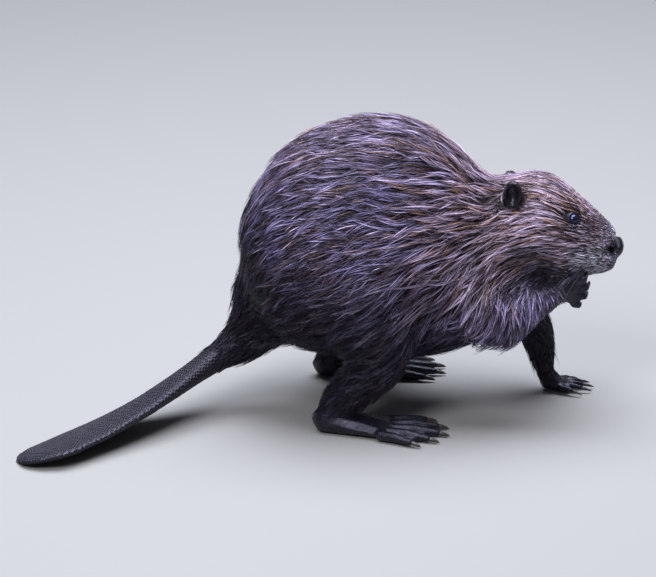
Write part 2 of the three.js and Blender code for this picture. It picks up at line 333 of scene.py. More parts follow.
def scattered(surface, spacing, density, seed):
    """Places on a surface at least the spacing apart, thinned by a named density from 0 to 1."""
    nodes, mesh = geometry_tree("scatter")
    inputs = {
        "Mesh": mesh,
        "Distance Min": spacing,
        "Density Max": 2.0 / spacing**2,
        "Density Factor": nodes.named(density, "FLOAT"),
        "Seed": seed,
    }
    spread = nodes.node("GeometryNodeDistributePointsOnFaces", inputs, distribute_method="POISSON")
    points = nodes.node("GeometryNodePointsToVertices", {"Points": spread.outputs["Points"]})
    probe = linked("probe", surface.data.copy())
    places = points_of(run_nodes(nodes, points.outputs["Mesh"], probe))
    discard(probe)
    return places


# ---- Skin ----

SWELL = 0.001  # how far the copied solids are swollen, so that they overlap across their gaps
EAR_SWELL = 0.0011
END_SWELL = 0.0006  # of paws, nose and tail
LEAST_SINK = 0.0006  # how far bare skin lies inside the solids
TORSO_VOXEL = 0.005
SKIN_VOXEL = 0.0017
KINDS = {"paw": PAWS, "tail": ["tail_paddle"], "ear": EARS, "nose": ["nose"]}


def merged_arrays(node):
    """Points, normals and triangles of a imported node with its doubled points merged."""
    shape = bmesh.new()
    shape.from_mesh(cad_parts[node].data)
    bmesh.ops.remove_doubles(shape, verts=shape.verts, dist=1e-6)
    mesh = bpy.data.meshes.new(node)
    shape.to_mesh(mesh)
    shape.free()
    return points_of(mesh), normals_of(mesh), triangles_of(mesh)


def joined(name, parts):
    """One object from pairs of points and triangles."""
    starts = np.cumsum([0] + [len(points) for points, _ in parts])
    points = np.concatenate([points for points, _ in parts])
    faces = np.concatenate([faces + start for (_, faces), start in zip(parts, starts)])
    return mesh_object(name, points, faces)


def swollen(node, swell):
    """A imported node's points moved out along their normals, and its triangles."""
    points, normals, triangles = merged_arrays(node)
    return points + swell * normals, triangles


def remeshed(obj, voxel):
    """Rebuilds an object's surface as one closed skin around all its overlapping shells."""
    modifier = obj.modifiers.new("voxels", "REMESH")
    modifier.mode = "VOXEL"
    modifier.voxel_size = voxel
    return applied(obj)


def part_masks(points):
    """How far points belong to each of the kinds of part, one array each, by the nearest solid."""
    parts = [swollen(node, 0.0) for node in FLESH]
    obj = joined("parts", parts)
    number = np.concatenate([np.full(len(part[1]), k) for k, part in enumerate(parts)])
    for kind, nodes in KINDS.items():
        mask = np.isin(number, [FLESH.index(node) for node in nodes])
        store(obj.data, kind, np.repeat(mask[:, None], 3, 1), "FACE")
    masks = nearest_values(points, obj, KINDS)
    discard(obj)
    return [mask[:, 0] for mask in masks]


def torso_shape():
    """Trunk, neck, head, legs and tail root as one shell with the creases between them faired."""
    torso = remeshed(joined("torso", [swollen(node, SWELL) for node in TORSO]), TORSO_VOXEL)
    points, edges = points_of(torso.data), edges_of(torso.data)
    share = 0.5 * smooth_step(distance_to(points, *WRISTS, TAIL_START), 0.02, 0.11)
    share *= mixed(1.0, 0.25, smooth_step(points[:, 0] - ORIGIN[0], 0.15, 0.20))
    points = smoothed(points, edges, 24, share)
    faces = triangles_of(torso.data)
    discard(torso)
    return points, faces


def behind_nose(points):
    """How far points lie behind the tip of the nose."""
    return NOSE_TIP - points[:, 0]


def coat_depth(points):
    """Depth of the coat: thin at the nose, growing past the ear, thin again at paws and tail."""
    back = behind_nose(points)
    depth = 0.0010 + 0.0012 * smooth_step(back, 0.01, 0.05) + 0.0018 * smooth_step(back, 0.06, 0.12)
    depth += 0.0035 * smooth_step(back, 0.10, 0.20)
    depth *= 0.18 + 0.82 * smooth_step(distance_to(points, *WRISTS), 0.012, 0.080)
    return depth * (0.3 + 0.7 * smooth_step(distance_to(points, TAIL_START), 0.02, 0.09))


def skin_surface():
    """The whole skin before its details, with a mask for each kind of part.

    The shells are joined, the steps at tail root and heels are faired, and the furred skin is
    sunk along its normals by the coat's depth.
    """
    ends = [swollen(node, EAR_SWELL if node in EARS else END_SWELL) for node in EXTREMITIES]
    whole = joined("skin", [torso_shape()] + ends)
    remeshed(whole, SKIN_VOXEL)
    points, edges = points_of(whole.data), edges_of(whole.data)
    paw, tail, ear, nose = part_masks(points)
    beyond = smooth_step(distance_to(points, TAIL_START), 0.02, 0.05)
    faired = 1.0 - beyond * smooth_step(distance_to(points, *HEELS), 0.012, 0.034)
    points = smoothed(points, edges, 6)
    points = smoothed(points, edges, 60, 0.5 * faired)
    points = smoothed(points, edges, 10, 0.5 * smoothed(ear, edges, 3))
    nose = np.maximum(nose, bare_nose(points))
    masks = smoothed(np.stack([paw, tail, ear, nose], 1), edges, 4)
    set_points(whole.data, points)
    normals = smoothed(normals_of(whole.data), edges, 6)
    furred = 1.0 - np.clip(masks.sum(1), 0.0, 1.0)
    sink = coat_depth(points) * smoothed(furred, edges, 12) + LEAST_SINK
    set_points(whole.data, points - sink[:, None] * unit(normals))
    for kind, mask in zip(KINDS, masks.T):
        store(whole.data, kind, mask)
    return whole


# ---- Sculpting ----

# The crease between the jaw and the raised forearm, and the forearm's lower edge.
FOLD = body_places((0.155, -0.088, 0.184), (0.180, -0.074, 0.180), (0.202, -0.058, 0.176))
FOREARM = body_places(
    (0.118, -0.104, 0.106), (0.144, -0.094, 0.097), (0.174, -0.080, 0.120), (0.202, -0.062, 0.138)
)

# Mounds on each side of the face: the bell's place forwards, outwards and up of the nose's
# middle, its sizes along the same axes, and its height, which is below 0 for a hollow.
FACE_MOUNDS = (
    ((-0.014, 0.017, -0.017), (0.015, 0.012, 0.012), 0.0028),  # muzzle's pad
    ((-0.062, 0.047, -0.010), (0.026, 0.020, 0.020), 0.0030),  # cheek
    ((-0.052, 0.037, 0.050), (0.016, 0.009, 0.006), 0.0022),  # brow
    ((-0.034, 0.034, 0.033), (0.008, 0.008, 0.008), -0.0018),  # corner of the eye
    ((0.0065, 0.015, -0.001), (0.0060, 0.0080, 0.0090), 0.0050),  # nostril's wing
)
NOSTRIL = np.array([(0.0030, 0.0210, -0.0020), (-0.0005, 0.0255, -0.0010), (-0.0040, 0.0280, 0.0005)])
MOUTH = np.array(
    [(-0.001, 0.0, -0.027), (-0.010, 0.013, -0.030), (-0.026, 0.025, -0.028), (-0.040, 0.031, -0.024)]
)


def head_places(*places):
    """Places given as metres forwards, left and up of the nose's middle."""
    places = np.array(places)
    return NOSE + places[:, :1] * FORWARD + places[:, 1:2] * HEAD_LEFT + places[:, 2:] * HEAD_UP


def bulge(points, place, size):
    """A bell 1 at a place and falling with the distance d over the three sizes: exp(-d^2)."""
    local = (points - place) @ np.stack([FORWARD, HEAD_LEFT, HEAD_UP], 1) / np.array(size)
    return np.exp(-(local**2).sum(1))


def mounds(points, table):
    """The sum of a table's bells on both sides of the head, each times its height."""
    total = np.zeros(len(points))
    for side in SIDES.values():
        for place, sizes, height in table:
            outwards = np.multiply(place, (1.0, side, 1.0))
            total += height * bulge(points, head_places(outwards)[0], sizes)
    return total


def groove(points, line, width, power=2):
    """A bell across a line of places: exp(-(d / width)^power), d being the distance to the line."""
    return np.exp(-((segment_distances(points, line).min(1) / width) ** power))


def nearest_points(points, places):
    """The points nearest to some places."""
    return np.array([points[np.argmin(((points - place) ** 2).sum(1))] for place in places])


def refined(obj, near):
    """Splits once in each direction the faces whose corners all lie where near is true."""
    shape = bmesh.new()
    shape.from_mesh(obj.data)
    shape.verts.ensure_lookup_table()
    chosen = [shape.verts[k] for k in np.flatnonzero(near)]
    inside = set(chosen)
    edges = {edge for vert in chosen for edge in vert.link_edges if edge.other_vert(vert) in inside}
    bmesh.ops.subdivide_edges(shape, edges=list(edges), cuts=1, use_grid_fill=True)
    bmesh.ops.triangulate(shape, faces=[face for face in shape.faces if len(face.verts) > 4])
    shape.to_mesh(obj.data)
    shape.free()


LID_OPENING = (0.0068, 0.0061)  # half the length and half the height of the eye's opening
LID_THICK = 0.0008
LID_BLEND = 0.0030  # over which the lids' dome runs into the skin beyond it
LID_CREASE = 0.0006
EYE_HOLLOW = 0.0034  # depth under the dome of the skin that the eye hides


def eye_axes(side):
    """Along the eye's opening, up across it, and out of the head."""
    out = unit(SIDES[side] * HEAD_LEFT * 0.90 + FORWARD * 0.30 + HEAD_UP * 0.32)
    along = unit(np.cross(HEAD_UP, out) * SIDES[side] + 0.12 * HEAD_UP)
    along = unit(along - (along @ out) * out)
    return along, np.cross(out, along) * SIDES[side], out


def with_lids(points, side):
    """Points moved to hold an eye: a dome of lids round it with an almond-shaped opening.

    The lids' dome is a sphere a lid's thickness larger than the eye, with a crease round it.
    Inside the opening the skin dips under the eye's surface, and beyond the dome it keeps its
    own height.
    """
    along, up, out = eye_axes(side)
    offset = points - EYES[side]
    a, b, height = offset @ along, offset @ up, offset @ out
    across = np.hypot(a, b)
    ring = np.hypot(a / LID_OPENING[0], b / LID_OPENING[1]) + 0.05 * np.abs(a / LID_OPENING[0])
    radius = EYE_RADIUS + LID_THICK
    dome = np.sqrt(np.maximum(radius**2 - across**2, 0.0))
    gap = height - dome
    lid = dome + 0.5 * (gap + np.sqrt(gap**2 + LID_BLEND**2))
    lid -= LID_CREASE * np.exp(-(((ring - 1.60) / 0.14) ** 2))
    wanted = mixed(dome - EYE_HOLLOW, lid, smooth_step(ring, 0.93, 1.06))
    share = (1.0 - smooth_step(across, 0.011, 0.016)) * (height > -0.004)
    return points + (share * (wanted - height))[:, None] * out


def bare_nose(points):
    """1 on the bare skin round the nostrils, which reaches behind the nose's own solid."""
    places = head_places((-0.001, 0.023, 0.0), (-0.001, -0.023, 0.0))
    bells = [bulge(points, place, (0.0095, 0.016, 0.0105)) for place in places]
    return smooth_step(np.max(bells, 0), 0.35, 0.60)


def with_face(points, normals):
    """Points moved along the normals by the face's mounds, nostrils, mouth, notch and philtrum.

    A nostril is a raised rim with a narrower hole in it, each a bell across one line of points.
    """
    move = mounds(points, FACE_MOUNDS)
    for side in SIDES.values():
        outwards = np.array([1.0, side, 1.0])
        nostril = nearest_points(points, head_places(*NOSTRIL * outwards))
        move += 0.0020 * groove(points, nostril, 0.0060) - 0.0105 * groove(points, nostril, 0.0025)
        move -= 0.0030 * groove(points, head_places(*MOUTH * outwards), 0.0018)
    notch = head_places((0.0055, -0.010, 0.0135), (0.0055, 0.010, 0.0135))
    move -= 0.0030 * groove(points, notch, 0.0025)
    philtrum = head_places((0.008, 0.0, -0.010), (0.001, 0.0, -0.026))
    move -= 0.0026 * groove(points, philtrum, 0.0016)
    return points + move[:, None] * normals


FINE_NOSE = 0.030  # distances from the nose and the eyes within which faces are split
FINE_EYE = 0.018
FINEST_EYE = 0.0115


def sculpted(skin):
    """Finishes the head of the skin and presses in the fold between jaw and forearm.

    Faces are split finer round the nose and eyes. The seam behind the nose is smoothed and the
    bridge raised before the face's details are made.
    """
    points, eyes = points_of(skin.data), EYES.values()
    refined(skin, (distance_to(points, NOSE) < FINE_NOSE) | (distance_to(points, *eyes) < FINE_EYE))
    refined(skin, distance_to(points_of(skin.data), *eyes) < FINEST_EYE)
    points, edges = points_of(skin.data), edges_of(skin.data)
    seam, bridge = head_places((-0.006, 0.0, 0.002), (-0.010, 0.0, 0.016))
    share = np.minimum(0.5, 0.8 * bulge(points, seam, (0.014, 0.026, 0.024)))
    points = smoothed(points, edges, 70, share)
    normals = unit(smoothed(normals_of(skin.data), edges, 4))
    points += (0.0050 * bulge(points, bridge, (0.012, 0.016, 0.010)))[:, None] * normals
    points -= (0.0050 * groove(points, FOLD, 0.008))[:, None] * normals
    points = smoothed(points, edges, 12, share)
    set_points(skin.data, points)
    points = with_face(points, unit(smoothed(normals_of(skin.data), edges, 4)))
    for side in SIDES:
        points = with_lids(points, side)
    points[:, 2] = np.maximum(points[:, 2], 0.0)
    set_points(skin.data, points)
    return skin


# ---- Lie and markings of the coat ----

# Lines that the hair follows from root to tip, in metres forwards, left and up of the origin.
# Those of the sides are also mirrored, and those of the right or left are kept to it.
MIDDLE_LINES = [
    [(0.285, 0, 0.205), (0.250, 0, 0.250), (0.200, 0, 0.285), (0.130, 0, 0.285), (0.050, 0, 0.340),
     (-0.030, 0, 0.350), (-0.110, 0, 0.300), (-0.157, 0, 0.205), (-0.150, 0, 0.130),
     (-0.185, -0.017, 0.075)],
    [(0.270, 0, 0.160), (0.200, 0, 0.145), (0.150, 0, 0.110), (0.080, 0, 0.072), (0.0, 0, 0.062),
     (-0.090, 0, 0.075), (-0.140, 0, 0.090), (-0.190, -0.017, 0.050)],
]
SIDE_LINES = [
    [(0.270, 0.025, 0.220), (0.230, 0.042, 0.248), (0.170, 0.048, 0.268), (0.110, 0.075, 0.262),
     (0.040, 0.100, 0.285), (-0.040, 0.102, 0.298), (-0.110, 0.088, 0.262), (-0.150, 0.060, 0.185)],
    [(0.285, 0.018, 0.190), (0.240, 0.043, 0.215), (0.190, 0.060, 0.222), (0.145, 0.078, 0.215),
     (0.100, 0.100, 0.190), (0.050, 0.114, 0.176), (0.0, 0.122, 0.182), (-0.080, 0.118, 0.170),
     (-0.130, 0.090, 0.130), (-0.150, 0.050, 0.095)],
    [(0.150, 0.058, 0.252), (0.120, 0.084, 0.228), (0.087, 0.102, 0.200), (0.068, 0.108, 0.165),
     (0.058, 0.105, 0.130)],
    [(0.085, 0.100, 0.250), (0.025, 0.112, 0.262), (-0.035, 0.104, 0.280), (-0.080, 0.080, 0.290)],
    [(0.060, 0.108, 0.234), (0.0, 0.122, 0.240), (-0.060, 0.118, 0.243), (-0.105, 0.104, 0.226),
     (-0.138, 0.082, 0.175)],
    [(0.088, 0.104, 0.208), (0.040, 0.118, 0.213), (-0.010, 0.123, 0.216), (-0.065, 0.119, 0.212)],
    [(0.275, 0.020, 0.172), (0.230, 0.042, 0.176), (0.185, 0.056, 0.176), (0.140, 0.074, 0.165)],
    [(0.060, 0.105, 0.120), (0.010, 0.110, 0.105), (-0.060, 0.100, 0.082), (-0.110, 0.060, 0.072)],
    [(0.020, 0.125, 0.130), (0.024, 0.112, 0.095), (0.004, 0.105, 0.066), (-0.030, 0.100, 0.046),
     (-0.055, 0.096, 0.028)],
]
RIGHT_LINES = [
    [(0.240, -0.045, 0.192), (0.200, -0.066, 0.196), (0.165, -0.086, 0.196), (0.135, -0.102, 0.180),
     (0.118, -0.110, 0.150), (0.110, -0.104, 0.115)],
    [(0.095, -0.106, 0.180), (0.088, -0.108, 0.145), (0.084, -0.100, 0.110)],
    [(0.152, -0.096, 0.180), (0.147, -0.114, 0.150), (0.143, -0.104, 0.098)],
    [(0.172, -0.072, 0.176), (0.172, -0.096, 0.158), (0.172, -0.086, 0.118)],
    [(0.188, -0.062, 0.174), (0.195, -0.086, 0.156), (0.198, -0.074, 0.134)],
    [(0.202, -0.052, 0.172), (0.211, -0.068, 0.162), (0.222, -0.060, 0.150)],
]
LEFT_LINES = [
    [(0.110, 0.075, 0.180), (0.140, 0.085, 0.130), (0.165, 0.080, 0.095), (0.190, 0.062, 0.060),
     (0.202, 0.046, 0.022)],
    [(0.150, 0.045, 0.120), (0.168, 0.042, 0.085), (0.188, 0.036, 0.050)],
]


def mirrored(line):
    """A line of places with left and right exchanged."""
    return [(x, -y, z) for x, y, z in line]


def coat_lines():
    """All the coat's lines as arrays of places in the frame."""
    both_sides = SIDE_LINES + [mirrored(line) for line in SIDE_LINES]
    return [body_places(*line) for line in MIDDLE_LINES + both_sides + RIGHT_LINES + LEFT_LINES]


def lie_of_coat(points, normals, edges):
    """The hair's direction along the skin at each point.

    It is the mean of all the coat's segments, each weighted by 1 / (d^2 + 12 mm^2)^2 for its
    distance d, laid flat on the skin and smoothed over neighbours.
    """
    total = np.zeros_like(points)
    for line in coat_lines():
        weight = 1.0 / (segment_distances(points, line) ** 2 + 0.012**2) ** 2
        total += weight @ unit(np.diff(line, axis=0))
    total = unit(total)
    for _ in range(4):
        total -= (total * normals).sum(1, keepdims=True) * normals
        total = unit(smoothed(unit(total), edges, 4))
    return unit(total - (total * normals).sum(1, keepdims=True) * normals)


def body_local(points):
    """Places forwards, left and up of the origin of the coat's lines."""
    return points - ORIGIN


def markings(points):
    """How reddish, how dark and how grey the skin and coat are, one column each.

    Head, neck and upper shoulders are reddish and the muzzle is grey. The coat darkens below a
    height that follows the body's length and towards the rump, partly its own darker hair and
    partly painted shade where the body turns from the light above. It darkens towards the wrists
    and the bridge of the nose too, and painted shade lies in the fold under the jowl and on the
    cheek above it. The raised forearm is neither reddish nor very dark. Smooth waves break up the
    edges, and spots of dark lie in the grey.
    """
    place = body_local(points + 0.012 * waves(points, 0.06, 3)[:, None])
    x, z = place[:, 0], place[:, 2]
    forearm = groove(points, FOREARM + 0.025 * UP, 0.035)

    red = smooth_step(x, 0.02, 0.15) * smooth_step(z - 0.25 * x, 0.06, 0.17)
    red *= 1.0 - 0.60 * smooth_step(x, 0.255, 0.285)
    red = np.maximum(red, 0.30 * smooth_step(z, 0.26, 0.33))
    red *= 1.0 - 0.85 * forearm

    muzzle, tip, bridge = head_places((-0.022, 0.0, -0.014), (-0.003, 0.0, 0.014), (-0.020, 0.0, 0.022))
    grey = bulge(points, muzzle, (0.024, 0.045, 0.018))
    grey += 0.45 * bulge(points, tip, (0.010, 0.018, 0.010))

    # painted shade along with the coat's own darker hair: darker below a height and towards the rump's
    # rear edge, away from the light above
    along = [-0.10, 0.0, 0.10, 0.16, 0.22]
    low = np.interp(x, along, [0.12, 0.10, 0.11, 0.10, 0.15])
    high = np.interp(x, along, [0.28, 0.26, 0.26, 0.19, 0.205])
    dark = 1.0 - smooth_step((z - low) / (high - low), 0.0, 1.0)
    rear = np.interp(z, [0.10, 0.15, 0.20, 0.25, 0.29, 0.33], [0.060, 0.078, 0.110, 0.126, 0.142, 0.175])
    dark = np.maximum(dark, 0.90 * smooth_step(-x - rear, -0.032, 0.034))
    # the raised forearm is up in the light and kept out of that painted shade
    dark *= 1.0 - 0.90 * forearm
    # painted shade in the crease under the jowl and on the cheek just above it
    dark = np.maximum(dark, groove(points, FOLD + 0.004 * FORWARD, 0.018, 4))
    dark = np.maximum(dark, 0.75 * groove(points, FOLD + 0.024 * UP, 0.017, 4))
    dark = np.maximum(dark, 1.0 - smooth_step(distance_to(points, *WRISTS), 0.004, 0.016))
    dark = np.maximum(dark, 0.80 * bulge(points, bridge, (0.014, 0.040, 0.014)))
    dark *= 1.0 - np.clip(1.3 * grey, 0.0, 1.0)
    dark = np.maximum(dark, 0.8 * grey * smooth_step(waves(points, 0.0075, 9), 0.25, 0.6))
    return np.stack([red, dark, np.clip(1.4 * grey, 0.0, 1.0)], 1)


# Where warm hair is commonest, as mounds: the brows, before the ears and the jowls.
RUSTY_MOUNDS = (
    ((-0.046, 0.036, 0.050), (0.014, 0.016, 0.010), 1.0),
    ((-0.095, 0.042, 0.062), (0.014, 0.020, 0.016), 1.0),
    ((-0.080, 0.050, -0.012), (0.026, 0.030, 0.014), 0.8),
)


def rusty(points):
    """How much commoner warm hair is: the table's mounds, and less than 0 on the raised forearm."""
    return mounds(points, RUSTY_MOUNDS) - groove(points, FOREARM + 0.015 * UP, 0.045)


def pale(points):
    """Bells behind the eyes and over the nape, where strands are paler: painted light on lit locks."""
    total = np.zeros(len(points))
    for eye in EYES.values():
        total += bulge(points, eye - 0.034 * FORWARD, (0.022, 0.030, 0.014))
    for nape in body_places((0.134, 0.075, 0.272), (0.134, -0.075, 0.272)):
        total += bulge(points, nape, (0.034, 0.045, 0.020))
    return total


EYE_ROOM = 0.0085  # round the middle of an eye, and no hair that grows towards it reaches in
EAR_ROOM = 0.0150
SHORTEST = 0.0025


def coat_length(points, lie):
    """Length of the hair: shortest on muzzle, wrists and ankles, longest on the shoulders.

    It is shorter at the tail and on the raised forearm too. Where it grows towards an eye or an
    ear it is no longer than its distance from it.
    """
    back = behind_nose(points)
    length = 0.0065 + 0.015 * smooth_step(back, 0.018, 0.07) + 0.013 * smooth_step(back, 0.05, 0.12)
    length += 0.008 * smooth_step(back, 0.10, 0.20) - 0.015 * smooth_step(back, 0.24, 0.36)
    length *= 0.36 + 0.64 * smooth_step(distance_to(points, *WRISTS), 0.010, 0.065)
    length *= 0.45 + 0.55 * smooth_step(distance_to(points, TAIL_START), 0.02, 0.08)
    length *= 1.0 - 0.35 * groove(points, FOREARM, 0.040)
    rooms = [(eye, EYE_ROOM) for eye in EYES.values()] + [(middle_of(ear), EAR_ROOM) for ear in EARS]
    for place, room in rooms:
        offset = place - points
        distance = np.linalg.norm(offset, axis=1)
        towards = smooth_step((offset * lie).sum(1) / distance, 0.2, 0.7)
        most = np.maximum(distance - room, SHORTEST)
        length = mixed(length, np.minimum(length, most), towards)
    return length


def eyelids(points):
    """1 on the lids, where no hair grows, and 0 away from them."""
    bare = np.zeros(len(points))
    for side in SIDES:
        along, up, _ = eye_axes(side)
        offset = points - EYES[side]
        ring = np.hypot(offset @ along / LID_OPENING[0], offset @ up / LID_OPENING[1])
        close = 1.0 - smooth_step(np.linalg.norm(offset, axis=1), 0.014, 0.018)
        bare = np.maximum(bare, close * (1.0 - smooth_step(ring, 1.36, 1.58)))
    return bare


def ear_way(side):
    """The way that an ear's cup opens on one side, 1 for the left and -1 for the right."""
    return 0.9 * side * HEAD_LEFT + 0.4 * FORWARD


EAR_HAIR = 0.0050
EAR_COAT = 0.0012  # depth


def with_coat_values(obj):
    """Keeps on a skin what the coat reads from it, and which roots it lets grow.

    The vector "size" holds the hair's length, its depth and how freely it hangs. Paws, tail,
    nose, lids and the ears' cups stay bare.
    """
    mesh = obj.data
    points, edges = points_of(mesh), edges_of(mesh)
    normals = unit(smoothed(normals_of(mesh), edges, 3))
    lie = lie_of_coat(points, normals, edges)
    ear = stored(mesh, "ear")
    bare = np.clip(stored(mesh, "paw") + stored(mesh, "tail") + stored(mesh, "nose"), 0.0, 1.0)
    side = np.sign((points - NOSE) @ HEAD_LEFT)[:, None]
    cup = smooth_step(ear, 0.2, 0.5) * smooth_step((normals * ear_way(side)).sum(1), -0.15, 0.15)
    grows = (1.0 - smooth_step(bare, 0.3, 0.6)) * (1.0 - eyelids(points)) * (1.0 - cup)
    length = mixed(coat_length(points, lie), EAR_HAIR, ear)
    depth = mixed(coat_depth(points), EAR_COAT, ear)
    mark = markings(points)
    mark[:, 1] = np.maximum(mark[:, 1], 0.75 * ear)
    face = 1.0 - smooth_step(behind_nose(points), 0.105, 0.150)
    face = np.clip(face + ear + (length < 0.013), 0.0, 1.0)
    muzzle = 1.0 - smooth_step(behind_nose(points), 0.038, 0.050)
    values = {
        "up": normals,
        "lie": lie,
        "mark": mark,
        "size": np.stack([length, depth, groove(points, FOREARM, 0.022)], 1),
        "body_roots": grows * (1.0 - face),
        "face_roots": grows * face * (1.0 - muzzle),
        "muzzle_roots": grows * muzzle,
    }
    for name, value in values.items():
        store(mesh, name, value)


# ---- Coat ----

LONG_SHARE = 0.10  # share of the locks that are long guard hairs over the others
LONG_REACH = 1.45  # their length beside the others'
ROOT_SINK = 0.0010  # how far a spike starts under the skin
SHALLOW = 0.0015  # by the ears, only their own hairs lie in a shallower coat
LEAST_HEIGHT = 0.0005  # of any hair over the ground
EYE_CLEAR = (0.0062, 0.0055)  # half the length and height of what is kept clear of other hairs
EAR_CLEAR = (0.0115, 0.0165)

ROOT_SEED = 11  # of the first region's places, and one more for each later one
HAIR_SEED = 21

# How the locks of each region grow: the rings of a spike, the spread of a lock's roots in metres,
# and how far a lock wanders from the lie of the coat and bends, in radians.
GROWTH = {
    "body": {"rings": 4, "spread": 0.0030, "wander": 0.15, "bend": 0.40},
    "face": {"rings": 3, "spread": 0.0012, "wander": 0.09, "bend": 0.20},
    "muzzle": {"rings": 2, "spread": 0.0008, "wander": 0.10, "bend": 0.15},
}


def guides(ground, roots, steps, seed, wander, bend):
    """Paths of locks from their roots along the skin, and the skin's directions beside them.

    Each step goes along the lie of the coat, turned by slow waves, by the lock's own random
    angle and by a bend that grows along it, and is then put back over the nearest skin. Under
    the forearm it turns down instead and hangs free.
    """
    rng = np.random.default_rng(seed)
    place, up, lie, size = nearest_values(roots, ground, ["position", "up", "lie", "size"])
    long = rng.random(len(roots)) < LONG_SHARE
    turn = rng.normal(0.0, wander, len(roots))
    turn += 0.20 * waves(place, 0.060, seed + 1) + 0.12 * waves(place, 0.022, seed + 2)
    curl = rng.normal(0.0, bend, len(roots))
    step = size[:, 0] * rng.uniform(0.75, 1.15, len(roots)) * np.where(long, LONG_REACH, 1.0) / steps
    free = size[:, 2:] * rng.uniform(0.5, 1.0, (len(roots), 1))
    places, ups, ways = [place], [unit(up)], []
    for number in range(steps):
        up = ups[-1]
        angle = (turn + curl * (number / steps - 0.3))[:, None]
        way = unit(lie - (lie * up).sum(1, keepdims=True) * up)
        way = np.cos(angle) * way + np.sin(angle) * np.cross(up, way)
        way = unit(way - 1.2 * free * UP)
        ways.append(way)
        ahead = places[-1] + step[:, None] * way
        place, up, lie = nearest_values(ahead, ground, ["position", "up", "lie"])
        places.append(mixed(place, ahead, 0.75 * free))
        ups.append(unit(up))
    ways.append(ways[-1])
    return np.stack(places, 1), np.stack(ups, 1), np.stack(ways, 1), size, step, long


def covers(hairs, middle, along, out, sizes):
    """Which hairs have a point before an oval opening of these half sizes along and across."""
    offset = hairs - middle
    ring = np.hypot(offset @ along / sizes[0], offset @ np.cross(out, along) / sizes[1])
    near = np.linalg.norm(offset, axis=2) < 0.03
    return (near & (ring < 1.0) & (offset @ out > -0.002)).any(1)


def clear_of_head(points, shallow):
    """Which hairs cross neither an eye nor an ear; shallow ones are the ear's own and may."""
    clear = np.ones(len(points), bool)
    for name, side in SIDES.items():
        along, _, out = eye_axes(name)
        clear &= ~covers(points, EYES[name], along, out, EYE_CLEAR)
        out = unit(ear_way(side))
        along = unit(FORWARD - (FORWARD @ out) * out)
        clear &= shallow | ~covers(points, middle_of(f"ear_{name}"), along, out, EAR_CLEAR)
    return clear


def spikes(rng, places, ups, sides, wide):
    """Points of spikes along their paths: three-sided sections, each rolled at random, and a tip.

    A section's half width is wide times a share that is largest at the path's first third.
    """
    count, rings = len(places), places.shape[1] - 1
    shape = np.interp(np.arange(rings) / rings, [0.0, 0.3, 0.6, 1.0], [0.55, 1.0, 0.85, 0.45])
    roll = rng.normal(0.0, 0.45, count)[:, None, None]
    half = (wide[:, None] * shape)[..., None]
    across = half * (np.cos(roll) * sides + np.sin(roll) * ups)[:, :-1]
    over = half * (np.cos(roll) * ups - np.sin(roll) * sides)[:, :-1]
    base = places[:, :-1]
    ring = np.stack([base + across - 0.25 * over, base + 0.62 * over, base - across - 0.25 * over], 2)
    points = np.concatenate([ring.reshape(count, -1, 3), places[:, -1:]], 1)
    points[..., 2] = np.maximum(points[..., 2], LEAST_HEIGHT)
    return points


def strands(rng, roots, lock, layer, draw):
    """Tone and warmth of each hair from 0 to 1: its place's, its lock's and its own added up.

    The tone also grows with the layer that the hair lies in, which paints shade on the lower
    layers, and painted light raises it behind the eyes and over the nape.
    """
    own = mixed(0.22, 0.12, draw) * rng.normal(size=len(lock))
    # painted shade: hairs of the lower layers get a lower tone
    tone = 0.16 + mixed(0.20, 0.40, draw) * layer + 0.08 * rng.normal(size=len(roots))[lock] + own
    # painted light behind the eyes and over the nape
    tone += 0.22 * pale(roots)[lock]
    warmth = 0.45 + 0.22 * rng.normal(size=len(roots))[lock] + 0.22 * rng.normal(size=len(lock))
    warmth += 0.45 * rusty(roots)[lock]
    return np.clip(np.stack([tone, warmth], 1), 0.0, 1.0)


def tufts(ground, roots, seed, hairs, width, rings, spread, wander, bend):
    """Arrays of spikes gathered in locks: several to each root, which draw together at the tip.

    A spike starts under the skin and rises with t as depth (1 - (1 - t)^2). Locks draw together
    more on head and shoulders than on the flanks, and there the hairs of one lock are also more
    alike in height and tone. Hairs that would cross an eye or an ear are left out.
    """
    rng = np.random.default_rng(seed)
    places, ups, ways, size, step, long = guides(ground, roots, rings, seed, wander, bend)
    lock = np.repeat(np.arange(len(roots)), hairs)
    count = len(lock)
    places, ups, ways, size, step = places[lock], ups[lock], ways[lock], size[lock], step[lock]
    sides = np.cross(ways, ups)
    t = np.linspace(0.0, 1.0, rings + 1)
    small = np.minimum(1.0, size[:, 0] / 0.02)

    apart = rng.normal(0.0, spread, (count, 2)) * small[:, None]
    draw = mixed(0.50, 0.86, smooth_step(body_local(roots)[lock, 0], 0.02, 0.10))
    together = 1.0 - draw[:, None] * smooth_step(t, 0.15, 0.95)
    slide = rng.uniform(-0.9, 0.9, count) * step
    places = places + (apart[:, :1] * together)[..., None] * sides
    places = places + (slide[:, None] + apart[:, 1:] * together)[..., None] * ways
    layer = mixed(rng.uniform(0.2, 1.0, count), rng.uniform(0.2, 1.0, len(roots))[lock], draw)
    layer = np.where(long[lock], rng.uniform(0.85, 1.15, count), layer)
    rise = layer[:, None] * size[:, 1:2] * (1.0 - (1.0 - t) ** 2) - np.where(t == 0.0, ROOT_SINK, 0.0)
    places = places + rise[..., None] * ups

    wide = width * rng.uniform(0.65, 1.25, count) * mixed(0.75, 1.0, small) * mixed(0.70, 1.05, draw)
    points = spikes(rng, places, ups, sides, wide)
    strand = strands(rng, roots, lock, layer, draw)
    keep = clear_of_head(points, size[:, 1] < SHALLOW)
    return {"points": points[keep], "root": roots[lock][keep], "strand": strand[keep]}


